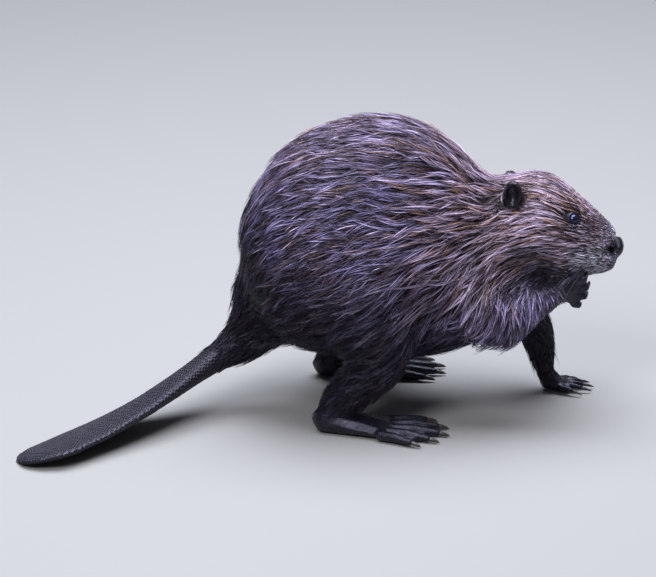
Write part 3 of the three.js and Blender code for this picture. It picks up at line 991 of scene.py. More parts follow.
def spike_faces(rings):
    """Triangles of one spike: a cap at the root, two for each side between rings, and a point."""
    faces = [(0, 2, 1)]
    for ring in range(rings - 1):
        for side in range(3):
            a, b = 3 * ring + side, 3 * ring + (side + 1) % 3
            faces += [(a, b, b + 3), (a, b + 3, a + 3)]
    last = 3 * (rings - 1)
    faces += [(last + side, last + (side + 1) % 3, 3 * rings) for side in range(3)]
    return np.array(faces)


PATCH = 0.003  # width of a tuft's patch on the unwrap


def coat_piece(name, ground, batch, chosen, material):
    """One object of the chosen spikes, with their strand values, markings and root patches."""
    points = batch["points"][chosen]
    count, size = points.shape[:2]
    rings = size // 3
    faces = spike_faces(rings)
    all_faces = (faces[None] + size * np.arange(count)[:, None, None]).reshape(-1, 3)
    obj = mesh_object(name, points.reshape(-1, 3), all_faces)
    mesh = obj.data
    along = np.append(np.repeat(np.arange(rings) / rings, 3), 1.0)
    across = np.append(np.tile([0.0, 0.5, 1.0], rings), 0.5)
    mark, patch = nearest_values(batch["root"][chosen], ground, ["mark", "patch"])
    strand = np.repeat(batch["strand"][chosen], size, 0)
    store(mesh, "strand", np.column_stack([strand, np.tile(along, count)]))
    store(mesh, "mark", np.repeat(mark, size, 0))
    corner = np.stack([across, along], 1)[faces.ravel()] - 0.5
    spots = (patch[:, None, :2] + PATCH * corner[None]).reshape(-1, 2)
    mesh.uv_layers.new(name="OFBake").data.foreach_set("uv", spots.astype(np.float32).ravel())
    mesh.polygons.foreach_set("use_smooth", np.ones(len(all_faces), bool))
    mesh.materials.append(material)
    finished(obj)
    return obj


def finished(obj):
    """Makes a piece ride on the body."""
    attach(obj, BODY)


def unwrapped(ground):
    """Unwraps a skin by the angles of its own faces and keeps the map as a vector."""
    bpy.context.view_layer.objects.active = ground
    ground.select_set(True)
    bpy.ops.object.mode_set(mode="EDIT")
    bpy.ops.mesh.select_all(action="SELECT")
    bpy.ops.uv.smart_project(angle_limit=math.radians(66), island_margin=0.004)
    bpy.ops.object.mode_set(mode="OBJECT")
    ground.select_set(False)
    layer = ground.data.uv_layers.active
    spots = numbers(layer.data, "uv", 2)
    flat = np.column_stack([spots, np.zeros(len(spots))])
    store(ground.data, "patch", flat, "CORNER")


# ---- Small pieces ----


def closed_faces(rows, sides):
    """Triangles of a shape of rows of points that run round it, closed at both ends by a pole.

    The two poles, before the first row and after the last, follow the rows' points.
    """
    row, column = np.meshgrid(np.arange(rows - 1), np.arange(sides), indexing="ij")
    a = (row * sides + column).ravel()
    b = (row * sides + (column + 1) % sides).ravel()
    edge, after = np.arange(sides), (np.arange(sides) + 1) % sides
    last, pole = (rows - 1) * sides, np.full(sides, rows * sides)
    walls = [np.stack([a, a + sides, b + sides], 1), np.stack([a, b + sides, b], 1)]
    ends = [np.stack([pole, edge, after], 1), np.stack([pole + 1, last + after, last + edge], 1)]
    return np.concatenate(walls + ends)


def tube(path, radii, turn_from, sides):
    """Points and triangles of a round section carried along a path and closed at its ends.

    At each place of the path the ring is r (cos a, sin a) in the plane across it, and starts
    square to turn_from, which is any direction that the path doesn't take.
    """
    ways = unit(np.gradient(path, axis=0))
    across = unit(np.cross(ways, turn_from))
    over = np.cross(across, ways)
    angle = np.arange(sides) * math.tau / sides
    ring = np.cos(angle)[None, :, None] * across[:, None] + np.sin(angle)[None, :, None] * over[:, None]
    points = (path[:, None] + radii[:, None, None] * ring).reshape(-1, 3)
    return np.vstack([points, path[:1], path[-1:]]), closed_faces(len(path), sides)


CLAW_ROWS = 14
CLAW_SIDES = 14
CLAW_SUNK = 0.0008  # in the toe
ROOT_FACING = 0.80  # least cosine between a face of the flat root and the way from the tip


def claw_shape(node):
    """A smooth curved claw from a packed one: a round section that narrows as (1 - t^1.6)^0.8.

    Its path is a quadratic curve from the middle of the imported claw's flat root to its tip. It
    leaves the root squarely.
    """
    points, _, triangles = merged_arrays(node)
    corners = points[triangles]
    cross = np.cross(corners[:, 1] - corners[:, 0], corners[:, 2] - corners[:, 0])
    spread = np.linalg.norm(points - points.mean(0), axis=1)
    tip = points[np.argmax(spread)]
    flat = (unit(cross) * unit(corners.mean(1) - tip)).sum(1) > ROOT_FACING
    root_points = points[np.unique(triangles[flat])]
    root = root_points.mean(0)
    out = -unit(cross[flat].sum(0))
    length = np.linalg.norm(tip - root)
    radius = np.linalg.norm(root_points - root, axis=1).mean()
    t = np.linspace(0.0, 1.0, CLAW_ROWS)[:, None]
    bend = root + 0.55 * length * out
    start = root - CLAW_SUNK * out
    path = (1 - t) ** 2 * start + 2 * t * (1 - t) * bend + t**2 * tip
    radii = radius * np.maximum(1.0 - t[:, 0] ** 1.6, 0.02) ** 0.8
    return tube(path, radii, np.array([0.3, 0.5, 0.8]), CLAW_SIDES)


EYE_ROWS = 31
EYE_SIDES = 48


def eyeball_shape(side):
    """A sphere with a slight bulge at the cornea, its poles on the line out of the head.

    Its radius is 0.97 of the eye's, and grows by 0.06 times a bell of the angle from that line.
    """
    along, up, out = eye_axes(side)
    polar = np.linspace(0.0, math.pi, EYE_ROWS + 2)[1:-1]
    turn = np.arange(EYE_SIDES) * math.tau / EYE_SIDES
    grow = EYE_RADIUS * (0.97 + 0.06 * np.exp(-((polar / 0.75) ** 2)))
    ring = np.cos(turn)[:, None] * along + np.sin(turn)[:, None] * up
    body = (grow * np.cos(polar))[:, None, None] * out + (grow * np.sin(polar))[:, None, None] * ring
    poles = np.array([EYE_RADIUS * 1.03 * out, -EYE_RADIUS * 0.97 * out])
    points = EYES[side] + np.vstack([body.reshape(-1, 3), poles])
    faces = closed_faces(EYE_ROWS, EYE_SIDES)
    if np.dot(np.cross(along, up), out) < 0:
        faces = faces[:, ::-1]
    return points, faces, np.concatenate([np.repeat(polar, EYE_SIDES), [0.0, math.pi]])


WHISKERS = 9  # on each side
WHISKER_LENGTH = 0.055
WHISKER_RADIUS = 0.00024


def whisker_shapes(skin):
    """Thin curved bristles from the muzzle's pads, sweeping back and drooping as t^2."""
    rng = np.random.default_rng(5)
    shapes = []
    t = np.linspace(0.0, 1.0, 9)[:, None]
    for side in SIDES.values():
        back, high = rng.uniform(-0.034, -0.008, WHISKERS), rng.uniform(-0.022, -0.006, WHISKERS)
        near = head_places(*np.column_stack([back, np.full(WHISKERS, side * 0.040), high]))
        roots, ups = nearest_values(near, skin, ["position", "up"])
        for root, up in zip(roots, ups):
            way = unit(0.55 * up - FORWARD * rng.uniform(0.6, 1.1) - HEAD_UP * rng.uniform(0.2, 0.8))
            length = WHISKER_LENGTH * rng.uniform(0.5, 1.0)
            path = root + length * (t * way - t**2 * (0.22 * HEAD_UP + 0.10 * FORWARD)) - 0.001 * up
            radii = WHISKER_RADIUS * (1.0 - 0.85 * t[:, 0])
            shapes.append(tube(path, radii, np.array([0.1, 0.2, 0.97]), 5))
    return shapes


SCALE_PITCH = 0.0042
SCALE_ROWS = 0.866  # distance between the rings of scales, as a share of the pitch
SCALE_SIDES = 6
TAIL_LINE = body_places(
    (-0.170, -0.010, 0.074), (-0.212, -0.038, 0.051), (-0.242, -0.066, 0.039), (-0.278, -0.098, 0.026),
    (-0.318, -0.130, 0.015), (-0.358, -0.168, 0.009), (-0.388, -0.202, 0.007), (-0.420, -0.238, 0.007),
)
TAIL_ROLL = 0.15
TAIL_STEP = 0.001


def evened(rows, reach):
    """Rows averaged with those up to a reach of rows away, going straight on past the ends."""
    padded = np.pad(rows, ((reach, reach), (0, 0)), mode="reflect", reflect_type="odd")
    window = np.full(2 * reach + 1, 1.0 / (2 * reach + 1))
    return np.stack([np.convolve(column, window, "valid") for column in padded.T], 1)


def tail_frames():
    """Places a step apart along the tail's middle, with its direction, side and upward axes."""
    steps = np.linalg.norm(np.diff(TAIL_LINE, axis=0), axis=1)
    reach = np.append(0.0, np.cumsum(steps))
    s = np.arange(0.0, reach[-1], TAIL_STEP)
    middle = evened(np.stack([np.interp(s, reach, TAIL_LINE[:, axis]) for axis in range(3)], 1), 22)
    way = unit(np.gradient(middle, axis=0))
    side = unit(np.cross(way, UP))
    high = np.cross(side, way)
    rolled = np.cos(TAIL_ROLL) * side + np.sin(TAIL_ROLL) * high
    return middle, way, rolled, np.cross(rolled, way)


RING_PARTS = 72


def tail_ring(across, height):
    """A closed outline of the tail's section: the mean place of its points in each direction.

    Directions are told apart by the angle of the place scaled to a circle.
    """
    low, high = np.percentile(height, [1, 99])
    wide, middle = np.percentile(np.abs(across), 99), (low + high) / 2
    angle = np.arctan2((height - middle) / (high - low) * 2, across / wide)
    part = ((angle / math.tau + 0.5) * RING_PARTS).astype(int) % RING_PARTS
    count = np.bincount(part, minlength=RING_PARTS)
    filled = count > 0
    turns = np.arange(RING_PARTS)
    ring = [
        np.interp(turns, turns[filled], np.bincount(part, value, RING_PARTS)[filled] / count[filled],
                  period=RING_PARTS)
        for value in (across, height)
    ]
    ring = np.stack(ring, 1)
    return np.vstack([ring, ring[:1]])


def scale_places(skin):
    """Middles of the tail's scales, with the skin's directions there.

    They stand in rings round the tail. Each ring is the tail's own section divided into equal
    lengths, every second one turned by half a scale, and then put on the skin.
    """
    points, kind = points_of(skin.data), stored(skin.data, "kind")
    middle, way, side, high = tail_frames()
    points = points[kind[:, 1] > 0.5]
    number = np.argmin(((points[:, None] - middle[None, ::2]) ** 2).sum(-1), 1) * 2
    offset = points - middle[number]
    across, height = (offset * side[number]).sum(1), (offset * high[number]).sum(1)
    spots, ways = [], []
    rows = np.arange(0, len(middle), SCALE_PITCH * SCALE_ROWS / TAIL_STEP).astype(int)
    for turn, row in enumerate(rows):
        near = np.abs(number - row) <= 3
        if near.sum() < RING_PARTS:
            continue
        ring = tail_ring(across[near], height[near])
        length = np.append(0.0, np.cumsum(np.linalg.norm(np.diff(ring, axis=0), axis=1)))
        count = max(6, round(length[-1] / SCALE_PITCH))
        at = (np.arange(count) + 0.5 * (turn % 2)) * length[-1] / count
        a, b = np.interp(at, length, ring[:, 0]), np.interp(at, length, ring[:, 1])
        spots.append(middle[row] + a[:, None] * side[row] + b[:, None] * high[row])
        ways.append(np.repeat(way[row][None], count, 0))
    spots, ways = np.concatenate(spots), np.concatenate(ways)
    place, up, kind = nearest_values(spots, skin, ["position", "up", "kind"])
    keep = kind[:, 1] > 0.5
    return place[keep], unit(up[keep]), ways[keep]


def scale_shapes(skin):
    """Points and triangles of all the tail's scales, low six-sided domes that follow the skin."""
    rng = np.random.default_rng(8)
    place, up, way = scale_places(skin)
    across = unit(np.cross(up, way))
    way = np.cross(across, up)
    angle = (np.arange(SCALE_SIDES) + 0.5) * math.tau / SCALE_SIDES
    size = SCALE_PITCH * rng.uniform(0.50, 0.56, (len(place), 1, 1))
    spin = np.cos(angle)[:, None] * across[:, None] + 1.04 * np.sin(angle)[:, None] * way[:, None]
    lift = rng.uniform(0.8, 1.3, (len(place), 1, 1)) * 0.00036
    corners = place[:, None] + size * spin * np.array([1.0, 0.70])[:, None, None, None]
    spots, ups = nearest_values(corners.reshape(-1, 3), skin, ["position", "up"])
    spots, ups = spots.reshape(corners.shape), unit(ups).reshape(corners.shape)
    low = spots[0] - 0.0007 * ups[0]
    high = spots[1] + lift * ups[1]
    top = place[:, None] + 1.7 * lift * up[:, None]
    bottom = place[:, None] - 0.0009 * up[:, None]
    points = np.concatenate([low, high, top, bottom], 1)
    points[..., 2] = np.maximum(points[..., 2], 0.0)
    faces = []
    for k in range(SCALE_SIDES):
        low_a, low_b = k, (k + 1) % SCALE_SIDES
        high_a, high_b = low_a + SCALE_SIDES, low_b + SCALE_SIDES
        faces += [(low_a, low_b, high_b), (low_a, high_b, high_a)]
        faces += [(high_a, high_b, 2 * SCALE_SIDES), (low_b, low_a, 2 * SCALE_SIDES + 1)]
    offsets = points.shape[1] * np.arange(len(place))[:, None, None]
    return points.reshape(-1, 3), (np.array(faces)[None] + offsets).reshape(-1, 3)


# ---- Finishes ----


class Shader(Nodes):
    """The nodes of one material or of a shader group."""

    def surface(self, **inputs):
        """Feeds the material's Principled shader, whose inputs are named with _ for a space."""
        shader = self.tree.nodes["Principled BSDF"]
        self.feed(shader, {name.replace("_", " "): value for name, value in inputs.items()})

    def math(self, operation, a, b=0.0, c=0.0):
        """One sum on numbers."""
        return self.node("ShaderNodeMath", {0: a, 1: b, 2: c}, operation=operation).outputs[0]

    def mix(self, share, a, b, blend="MIX"):
        """Two colours mixed."""
        settings = {"data_type": "RGBA", "blend_type": blend}
        return self.node("ShaderNodeMix", {0: share, 6: a, 7: b}, **settings).outputs[2]

    def scaled(self, colour, factor):
        """A colour times a number."""
        return self.mix(1.0, colour, self.vector(factor, factor, factor), "MULTIPLY")

    def span(self, value, low, high, to_low=0.0, to_high=1.0):
        """A number's range mapped on to another in a smooth S, held at its ends."""
        inputs = {0: value, 1: low, 2: high, 3: to_low, 4: to_high}
        return self.node("ShaderNodeMapRange", inputs, interpolation_type="SMOOTHSTEP").outputs[0]

    def vector(self, x, y, z):
        """Three numbers as one vector."""
        return self.node("ShaderNodeCombineXYZ", {0: x, 1: y, 2: z}).outputs[0]

    def parts(self, vector):
        """The three numbers of a vector."""
        return self.node("ShaderNodeSeparateXYZ", {0: vector}).outputs

    def attribute(self, name, output="Vector"):
        """A named attribute of the piece, read as a vector or, with "Fac", as a number."""
        return self.node("ShaderNodeAttribute", attribute_name=name).outputs[output]

    def place(self):
        """Object coordinates."""
        return self.node("ShaderNodeTexCoord").outputs["Object"]

    def noise(self, scale, detail=3.0):
        """Cloudy noise in object coordinates."""
        inputs = {"Vector": self.place(), "Scale": scale, "Detail": detail}
        return self.node("ShaderNodeTexNoise", inputs).outputs[0]

    def bump(self, height, strength, distance):
        """A normal from a height."""
        inputs = {"Height": height, "Strength": strength, "Distance": distance}
        return self.node("ShaderNodeBump", inputs).outputs[0]


def rgba(colour):
    """A colour property as four numbers."""
    return (*colour, 1.0)


def new_group(name, inputs, outputs):
    """An empty shader group with named sockets, given as pairs of name and kind of socket."""
    tree = bpy.data.node_groups.new(name, "ShaderNodeTree")
    for way, sockets in (("INPUT", inputs), ("OUTPUT", outputs)):
        for title, kind in sockets:
            tree.interface.new_socket(title, in_out=way, socket_type="NodeSocket" + kind)
    shader = Shader(tree)
    return shader, shader.node("NodeGroupInput").outputs


def coat_colour_group(name, colours):
    """Colour of hair from its markings and its strand's tone, warmth and place along it."""
    sockets = [("Mark", "Vector"), ("Strand", "Vector")]
    shader, given = new_group(name, sockets, [("Color", "Color")])
    red, dark, grey = shader.parts(given["Mark"])
    tone, warmth, along = shader.parts(given["Strand"])
    warm = shader.span(warmth, 0.42, 0.90)
    body = shader.mix(warm, rgba(colours.violet), rgba(colours.brown))
    head = shader.mix(warm, rgba(colours.mauve), rgba(colours.rust))
    colour = shader.mix(red, body, head)
    colour = shader.mix(grey, colour, rgba(colours.grey))
    # painted shade with the roots' own brown: low tone and the part near the root mix toward the root
    # colour, as in the gaps between strands
    depth = shader.math("MULTIPLY", tone, shader.span(along, 0.0, 0.7, 0.30, 1.0))
    colour = shader.mix(shader.span(depth, 0.05, 0.60), rgba(colours.root), colour)
    # painted highlight: the highest tones mix toward the bright strands' colour
    colour = shader.mix(shader.span(depth, 0.62, 0.95, 0.0, 0.75), colour, rgba(colours.painted_highlight))
    # painted light and shade: brightness grows with the tone from about a third to 2.7 times, and falls
    # to 0.09 under the dark mark
    weakest = shader.span(red, 0.0, 1.0, 0.68, 0.34)
    strength = shader.span(depth, 0.2, 0.9, weakest, shader.span(red, 0.0, 1.0, 2.7, 2.0))
    light = shader.math("MULTIPLY", strength, shader.span(dark, 0.0, 1.0, 1.0, 0.09))
    shader.node("NodeGroupOutput", {"Color": shader.scaled(colour, light)})
    return shader.tree


def leather_group(name):
    """Bare skin's grain: fine cells in coarser folds, as a height and a mask of the folds."""
    shader, given = new_group(name, [("Scale", "Float")], [("Height", "Float"), ("Fold", "Float")])
    inputs = {"Vector": shader.place(), "Scale": given["Scale"]}
    fine = shader.node("ShaderNodeTexVoronoi", inputs, feature="DISTANCE_TO_EDGE").outputs["Distance"]
    clouds = shader.node("ShaderNodeTexNoise", inputs).outputs[0]
    fold = shader.span(fine, 0.0, 0.16)
    height = shader.math("MULTIPLY_ADD", clouds, 0.5, fold)
    shader.node("NodeGroupOutput", {"Height": height, "Fold": fold})
    return shader.tree


def coat_colour(shader, strand, colours):
    """The coat's colour at the piece's own markings, from the shared group."""
    group = bpy.data.node_groups.get("coat colour") or coat_colour_group("coat colour", colours)
    inputs = {"Mark": shader.attribute("mark"), "Strand": strand}
    return shader.node("ShaderNodeGroup", inputs, node_tree=group).outputs["Color"]


def leather(shader, scale):
    """Height and folds of bare skin's grain, from the shared group."""
    group = bpy.data.node_groups.get("leather") or leather_group("leather")
    return shader.node("ShaderNodeGroup", {"Scale": scale}, node_tree=group).outputs


def hair_material(shader, colours):
    """Wet hair: dark strands with a cool gloss."""
    shader.surface(
        Base_Color=coat_colour(shader, shader.attribute("strand"), colours),
        Roughness=shader.span(shader.noise(160.0), 0.3, 0.7, 0.22, 0.36),
        Specular_IOR_Level=0.55,
        Specular_Tint=rgba(colours.sheen),
    )


def skin_material(shader, colours):
    """Skin: dark down under the coat, and bare dark leather on paws, nose, ears and tail.

    Bare skin and lids are smoother than down, and the nose, which is wet, a little more so.
    """
    tone = shader.span(shader.noise(220.0), 0.3, 0.7, 0.06, 0.34)
    down = coat_colour(shader, shader.vector(tone, shader.noise(50.0), 0.5), colours)
    paw, tail, ear = shader.parts(shader.attribute("kind"))
    nose, lid = shader.attribute("nose", "Fac"), shader.attribute("lid", "Fac")
    grained = shader.math("MAXIMUM", shader.math("MAXIMUM", paw, tail), nose)
    bare = shader.math("MAXIMUM", grained, ear)

    hide = leather(shader, 1100.0)
    cloud = shader.span(shader.noise(60.0, 5.0), 0.3, 0.7, 0.65, 1.35)
    leathery = shader.scaled(rgba(colours.leather), cloud)
    creased = shader.mix(0.35, leathery, rgba(colours.black))
    colour = shader.mix(bare, down, shader.mix(hide["Fold"], creased, leathery))
    colour = shader.mix(shader.math("MULTIPLY", ear, 0.9), colour, rgba(colours.black))
    colour = shader.mix(lid, colour, rgba(colours.lid))

    rough = shader.span(shader.noise(200.0), 0.3, 0.7, 0.50, 0.68)
    rough = shader.math("MULTIPLY_ADD", shader.math("MAXIMUM", bare, lid), -0.30, rough)
    height = shader.math("MULTIPLY", hide["Height"], grained)
    shader.surface(
        Base_Color=colour,
        Roughness=shader.math("MULTIPLY_ADD", nose, -0.08, rough),
        Normal=shader.bump(height, 0.25, 0.0003),
        Specular_IOR_Level=0.4,
        Specular_Tint=rgba(colours.sheen),
    )


def eye_material(shader, colours):
    """A wet dark eye: a black pupil in a dark blue ring, its blue a painted reflection."""
    angle = shader.attribute("angle", "Fac")
    blue_reflection = shader.mix(shader.noise(900.0), rgba(colours.eye), rgba(colours.black))
    shader.surface(
        Base_Color=shader.mix(shader.span(angle, 0.42, 0.60), rgba(colours.black), blue_reflection),
        Roughness=0.10,
        Specular_IOR_Level=0.8,
        Specular_Tint=rgba(colours.gloss),
    )


def claw_material(shader, colours):
    """Dark horn, cloudy and finely rough."""
    clouds = shader.noise(700.0, 2.0)
    shader.surface(
        Base_Color=shader.mix(clouds, rgba(colours.claw), rgba(colours.black)),
        Roughness=shader.span(clouds, 0.3, 0.7, 0.25, 0.40),
        Normal=shader.bump(clouds, 0.25, 0.0003),
        Specular_IOR_Level=0.5,
    )


def scale_material(shader, colours):
    """Black scales of the tail, each a little different, with a wet gloss."""
    tone = shader.span(shader.noise(230.0, 2.0), 0.3, 0.7)
    shader.surface(
        Base_Color=shader.mix(tone, rgba(colours.scale), rgba(colours.black)),
        Roughness=shader.span(shader.noise(35.0), 0.35, 0.65, 0.32, 0.50),
        Normal=shader.bump(leather(shader, 900.0)["Height"], 0.2, 0.0002),
        Specular_IOR_Level=0.4,
        Specular_Tint=rgba(colours.sheen),
    )


def whisker_material(shader, colours):
    """Stiff horn-coloured bristles."""
    colour = shader.mix(shader.noise(120.0), rgba(colours.whisker), rgba(colours.leather))
    shader.surface(Base_Color=colour, Roughness=0.35, Specular_IOR_Level=0.5)


def floor_material(shader, colours):
    """A plain pale floor."""
    shader.surface(Base_Color=rgba(colours.floor), Roughness=0.8)


MATERIALS = {
    "hair": hair_material,
    "skin": skin_material,
    "wet eye": eye_material,
    "claw horn": claw_material,
    "tail scales": scale_material,
    "whisker": whisker_material,
    "floor": floor_material,
}


def material_named(name):
    """The material of that name, made from the chosen colours if there is none yet."""
    material = bpy.data.materials.get(name)
    if material is None:
        material = bpy.data.materials.new(name)
        material.use_nodes = True
        MATERIALS[name](Shader(material.node_tree), bpy.context.scene.beaver_colours)
    return material


# ---- Sizes and colours a user may change ----


def colour_property(name, description, default):
    """A colour without alpha."""
    return bpy.props.FloatVectorProperty(
        name=name, description=description, default=default, subtype="COLOR", size=3, min=0.0, max=1.0
    )


def length_property(name, description, default):
    """A length in metres."""
    return bpy.props.FloatProperty(
        name=name, description=description, default=default, min=0.0, unit="LENGTH", precision=4
    )


def count_property(name, description, default):
    """A whole number from 1 up."""
    return bpy.props.IntProperty(name=name, description=description, default=default, min=1)


class BeaverColours(bpy.types.PropertyGroup):
    """Colours of the beaver and its stage."""

    # violet and mauve are the cool hair, whose colour also holds painted bluish sheen of the wet coat
    violet: colour_property("Violet hair", "Cool hair of the back and flanks", (0.182, 0.160, 0.315))
    brown: colour_property("Brown hair", "Warm hair of the back and flanks", (0.200, 0.120, 0.105))
    # painted sheen as well: the wet coat's lavender sheen on head and shoulders
    mauve: colour_property("Mauve hair", "Cool hair of head and shoulders", (0.420, 0.325, 0.440))
    rust: colour_property("Rusty hair", "Warm hair of head and shoulders", (0.400, 0.215, 0.145))
    # painted highlight: colour of the brightest strands, where light glints off the wet coat
    painted_highlight: colour_property("Bright hair", "Brightest strands", (0.640, 0.540, 0.700))
    grey: colour_property("Grey hair", "Hair of the muzzle", (0.850, 0.880, 1.000))
    # the roots' own brown, which also paints the shade in the gaps between strands
    root: colour_property("Hair roots", "Hair near its roots", (0.034, 0.016, 0.012))
    black: colour_property("Black", "Darkest parts of hide, eyes and horn", (0.008, 0.007, 0.009))
    sheen: colour_property("Sheen", "Cool sheen on wet hair", (0.78, 0.74, 1.0))
    gloss: colour_property("Gloss", "Cool gloss on the eyes", (0.42, 0.48, 1.0))
    leather: colour_property("Bare skin", "Paws, nose and tail", (0.008, 0.008, 0.012))
    lid: colour_property("Eyelid", "Rims of the eyes", (0.014, 0.012, 0.016))
    # painted reflection: the eye's dark blue stands for the bluish light reflected on the wet eye
    eye: colour_property("Eye", "Eyes", (0.016, 0.020, 0.055))
    claw: colour_property("Claw", "Claws", (0.075, 0.058, 0.050))
    scale: colour_property("Tail scales", "Scales of the tail", (0.011, 0.010, 0.014))
    whisker: colour_property("Whiskers", "Whiskers", (0.20, 0.16, 0.18))
    floor: colour_property("Floor", "Floor", (0.29, 0.28, 0.27))


class BeaverCoat(bpy.types.PropertyGroup):
    """Sizes of the coat."""

    body_spacing: length_property("Body spacing", "Distance between locks of the body", 0.0042)
    body_width: length_property("Body width", "Half the width of a hair of the body", 0.00041)
    body_hairs: count_property("Body hairs", "Hairs in a lock of the body", 6)
    face_spacing: length_property("Face spacing", "Distance between locks of face and wrists", 0.0028)
    face_width: length_property("Face width", "Half the width of a hair of face and wrists", 0.00038)
    face_hairs: count_property("Face hairs", "Hairs in a lock of face and wrists", 7)
    muzzle_spacing: length_property("Muzzle spacing", "Distance between locks of the muzzle", 0.0015)
    muzzle_width: length_property("Muzzle width", "Half the width of a hair of the muzzle", 0.00030)
    muzzle_hairs: count_property("Muzzle hairs", "Hairs in a lock of the muzzle", 3)


# ---- Operators ----


def smooth_piece(name, shapes, material):
    """A smooth-shaded piece made of several closed shapes."""
    obj = joined(name, shapes)
    obj.data.polygons.foreach_set("use_smooth", np.ones(len(obj.data.polygons), bool))
    obj.data.materials.append(material_named(material))
    finished(obj)
    return obj


MOST_TRIANGLES = 195_000  # in one piece
KEEP_LEVELS = 8


def reduced(obj, keep, faces):
    """Collapses faces down to a number, least where the array keep is 1."""
    group = obj.vertex_groups.new(name="coarse")
    levels = (keep * (KEEP_LEVELS - 0.01)).astype(int)
    for level in range(KEEP_LEVELS):
        members = np.flatnonzero(levels == level)
        group.add(members.tolist(), 1.0 - level / KEEP_LEVELS, "REPLACE")
    modifier = obj.modifiers.new("coarser", "DECIMATE")
    modifier.ratio = faces / len(triangles_of(obj.data))
    modifier.vertex_group = "coarse"
    modifier.vertex_group_factor = 3.0
    modifier.use_collapse_triangulate = True
    return applied(obj)


class BEAVER_OT_skin(bpy.types.Operator):
    """Builds the one skin that stands for all the fleshy solids"""

    bl_idname = "beaver.skin"
    bl_label = "Skin"

    def execute(self, context):
        skin = sculpted(skin_surface())
        masks = [stored(skin.data, kind) for kind in KINDS]
        face = 1.0 - smooth_step(behind_nose(points_of(skin.data)), 0.09, 0.15)
        reduced(skin, np.clip(np.max(masks, 0) + face, 0.0, 1.0), MOST_TRIANGLES)
        mesh = skin.data
        with_coat_values(skin)
        store(mesh, "kind", np.stack([stored(mesh, kind) for kind in ("paw", "tail", "ear")], 1))
        store(mesh, "lid", eyelids(points_of(mesh)))
        mesh.polygons.foreach_set("use_smooth", np.ones(len(mesh.polygons), bool))
        mesh.materials.clear()
        mesh.materials.append(material_named("skin"))
        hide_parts(*FLESH)
        finished(skin)
        return {"FINISHED"}


class BEAVER_OT_coat(bpy.types.Operator):
    """Grows the fur over the skin in pieces from nose to rump"""

    bl_idname = "beaver.coat"
    bl_label = "Coat"

    def execute(self, context):
        sizes = context.scene.beaver_coat
        ground = linked("ground", bpy.data.objects["skin"].data.copy())
        unwrapped(ground)
        for number, (region, growth) in enumerate(GROWTH.items()):
            spacing = getattr(sizes, f"{region}_spacing")
            roots = scattered(ground, spacing, f"{region}_roots", ROOT_SEED + number)
            hairs, width = getattr(sizes, f"{region}_hairs"), getattr(sizes, f"{region}_width")
            batch = tufts(ground, roots, HAIR_SEED + number, hairs, width, **growth)
            most = MOST_TRIANGLES // len(spike_faces(growth["rings"]))
            order = np.argsort(-batch["root"][:, 0])
            pieces = math.ceil(len(order) / most)
            for piece, chosen in enumerate(np.array_split(order, pieces), 1):
                coat_piece(f"coat_{region}_{piece}", ground, batch, chosen, material_named("hair"))
        discard(ground)
        return {"FINISHED"}


class BEAVER_OT_eyes(bpy.types.Operator):
    """Sets the two eyes in their lids"""

    bl_idname = "beaver.eyes"
    bl_label = "Eyes"

    def execute(self, context):
        for side in SIDES:
            points, faces, angle = eyeball_shape(side)
            eye = smooth_piece(f"eyeball_{side}", [(points, faces)], "wet eye")
            store(eye.data, "angle", angle)
            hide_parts(f"eye_{side}")
        return {"FINISHED"}


class BEAVER_OT_claws(bpy.types.Operator):
    """Carves the claws of all four feet"""

    bl_idname = "beaver.claws"
    bl_label = "Claws"

    def execute(self, context):
        for node in CLAWS:
            claw = smooth_piece(node.replace("claw", "horn"), [claw_shape(node)], "claw horn")
            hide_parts(node)
        return {"FINISHED"}


class BEAVER_OT_whiskers(bpy.types.Operator):
    """Sets the whiskers in the muzzle"""

    bl_idname = "beaver.whiskers"
    bl_label = "Whiskers"

    def execute(self, context):
        smooth_piece("whiskers", whisker_shapes(bpy.data.objects["skin"]), "whisker")
        return {"FINISHED"}


class BEAVER_OT_tail_scales(bpy.types.Operator):
    """Lays the scales over both sides of the tail"""

    bl_idname = "beaver.tail_scales"
    bl_label = "Tail scales"

    def execute(self, context):
        shape = scale_shapes(bpy.data.objects["skin"])
        scales = joined("tail_scales", [shape])
        scales.data.materials.append(material_named("tail scales"))
        finished(scales)
        return {"FINISHED"}


CAMERA_TARGET = body_places((-0.0552, 0.0, 0.1423))[0]
CAMERA_DISTANCE = 7.0
CAMERA_ELEVATION = math.radians(19.0)
CAMERA_WIDTH = 0.771  # of the view at the target
FLOOR_SIZE = 12.0
FLOOR_GAP = 0.0005  # under the feet
LIGHTS = {  # place from the camera's target, size, watts and colour
    "sky": ((0.1, 0.5, 2.5), 2.6, 205.0, (0.83, 0.88, 1.0)),
    "window": ((-0.9, -2.0, 2.1), 1.1, 65.0, (0.92, 0.94, 1.0)),
}
WORLD_COLOUR = (0.80, 0.83, 1.0, 1.0)
WORLD_STRENGTH = 0.15


def area_light(name, offset, size, power, colour):
    """A square soft light at a place offset from the camera's target, which it looks at."""
    light = bpy.data.lights.new(name, "AREA")
    light.size = size
    light.energy = power
    light.color = colour
    aimed(linked(name, light), CAMERA_TARGET + offset, CAMERA_TARGET)


def aimed(obj, place, target):
    """Turns an object's -Z at a target from a place, with +Y up."""
    back = unit(place - target)
    right = unit(np.cross(UP, back))
    up = np.cross(back, right)
    matrix = np.eye(4)
    matrix[:3, :3] = np.stack([right, up, back], 1)
    matrix[:3, 3] = place
    obj.matrix_world = Matrix(matrix.tolist())


def lay_floor():
    """A square floor just under the feet, outside the model."""
    corners = np.array([(-0.5, -0.5, 0.0), (0.5, -0.5, 0.0), (0.5, 0.5, 0.0), (-0.5, 0.5, 0.0)])
    floor = mesh_object("floor", FLOOR_SIZE * corners - FLOOR_GAP * UP, np.array([[0, 1, 2, 3]]))
    floor.data.materials.append(material_named("floor"))


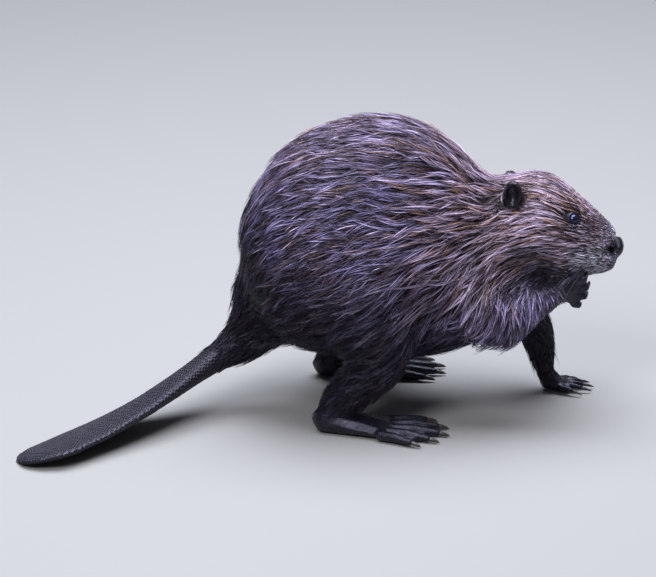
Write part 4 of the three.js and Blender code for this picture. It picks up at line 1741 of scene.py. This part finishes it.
def light_world():
    """A dim bluish light from all round."""
    world = bpy.data.worlds.new("studio")
    world.use_nodes = True
    background = world.node_tree.nodes["Background"]
    background.inputs["Color"].default_value = WORLD_COLOUR
    background.inputs["Strength"].default_value = WORLD_STRENGTH
    bpy.context.scene.world = world
    bpy.context.scene.view_settings.view_transform = "Standard"


def place_camera():
    """A long lens far to the right of the animal and above it, which frames its whole length."""
    camera = bpy.data.cameras.new("camera")
    camera.sensor_width = 36.0
    camera.lens = camera.sensor_width * CAMERA_DISTANCE / CAMERA_WIDTH
    camera.clip_end = 50.0
    view = linked("camera", camera)
    towards = np.array([0.0, -math.cos(CAMERA_ELEVATION), math.sin(CAMERA_ELEVATION)])
    aimed(view, CAMERA_TARGET + CAMERA_DISTANCE * towards, CAMERA_TARGET)
    bpy.context.scene.camera = view


class BEAVER_OT_stage(bpy.types.Operator):
    """Sets the floor, the soft lights and the camera"""

    bl_idname = "beaver.stage"
    bl_label = "Stage"

    def execute(self, context):
        lay_floor()
        for name, settings in LIGHTS.items():
            area_light(name, *settings)
        light_world()
        place_camera()
        return {"FINISHED"}


OPERATORS = (
    BEAVER_OT_skin,
    BEAVER_OT_coat,
    BEAVER_OT_eyes,
    BEAVER_OT_claws,
    BEAVER_OT_whiskers,
    BEAVER_OT_tail_scales,
    BEAVER_OT_stage,
)


class BEAVER_PT_panel(bpy.types.Panel):
    """Lists the beaver's operators, sizes and colours"""

    bl_idname = "BEAVER_PT_panel"
    bl_label = "Beaver"
    bl_space_type = "VIEW_3D"
    bl_region_type = "UI"
    bl_category = "Beaver"

    def draw(self, context):
        for operator in OPERATORS:
            self.layout.operator(operator.bl_idname)
        for group in (context.scene.beaver_coat, context.scene.beaver_colours):
            for name in group.bl_rna.properties.keys():
                if name not in ("rna_type", "name"):
                    self.layout.prop(group, name)


CLASSES = (BeaverColours, BeaverCoat) + OPERATORS + (BEAVER_PT_panel,)


def register():
    """Adds the classes, and the sizes and colours to the scene."""
    for cls in CLASSES:
        bpy.utils.register_class(cls)
    bpy.types.Scene.beaver_colours = bpy.props.PointerProperty(type=BeaverColours)
    bpy.types.Scene.beaver_coat = bpy.props.PointerProperty(type=BeaverCoat)


def unregister():
    """Takes away what register adds."""
    del bpy.types.Scene.beaver_coat
    del bpy.types.Scene.beaver_colours
    for cls in reversed(CLASSES):
        bpy.utils.unregister_class(cls)


def main():
    """Builds every piece in order."""
    register()
    for operator in OPERATORS:
        category, name = operator.bl_idname.split(".")
        getattr(getattr(bpy.ops, category), name)()


if __name__ == "__main__":
    main()
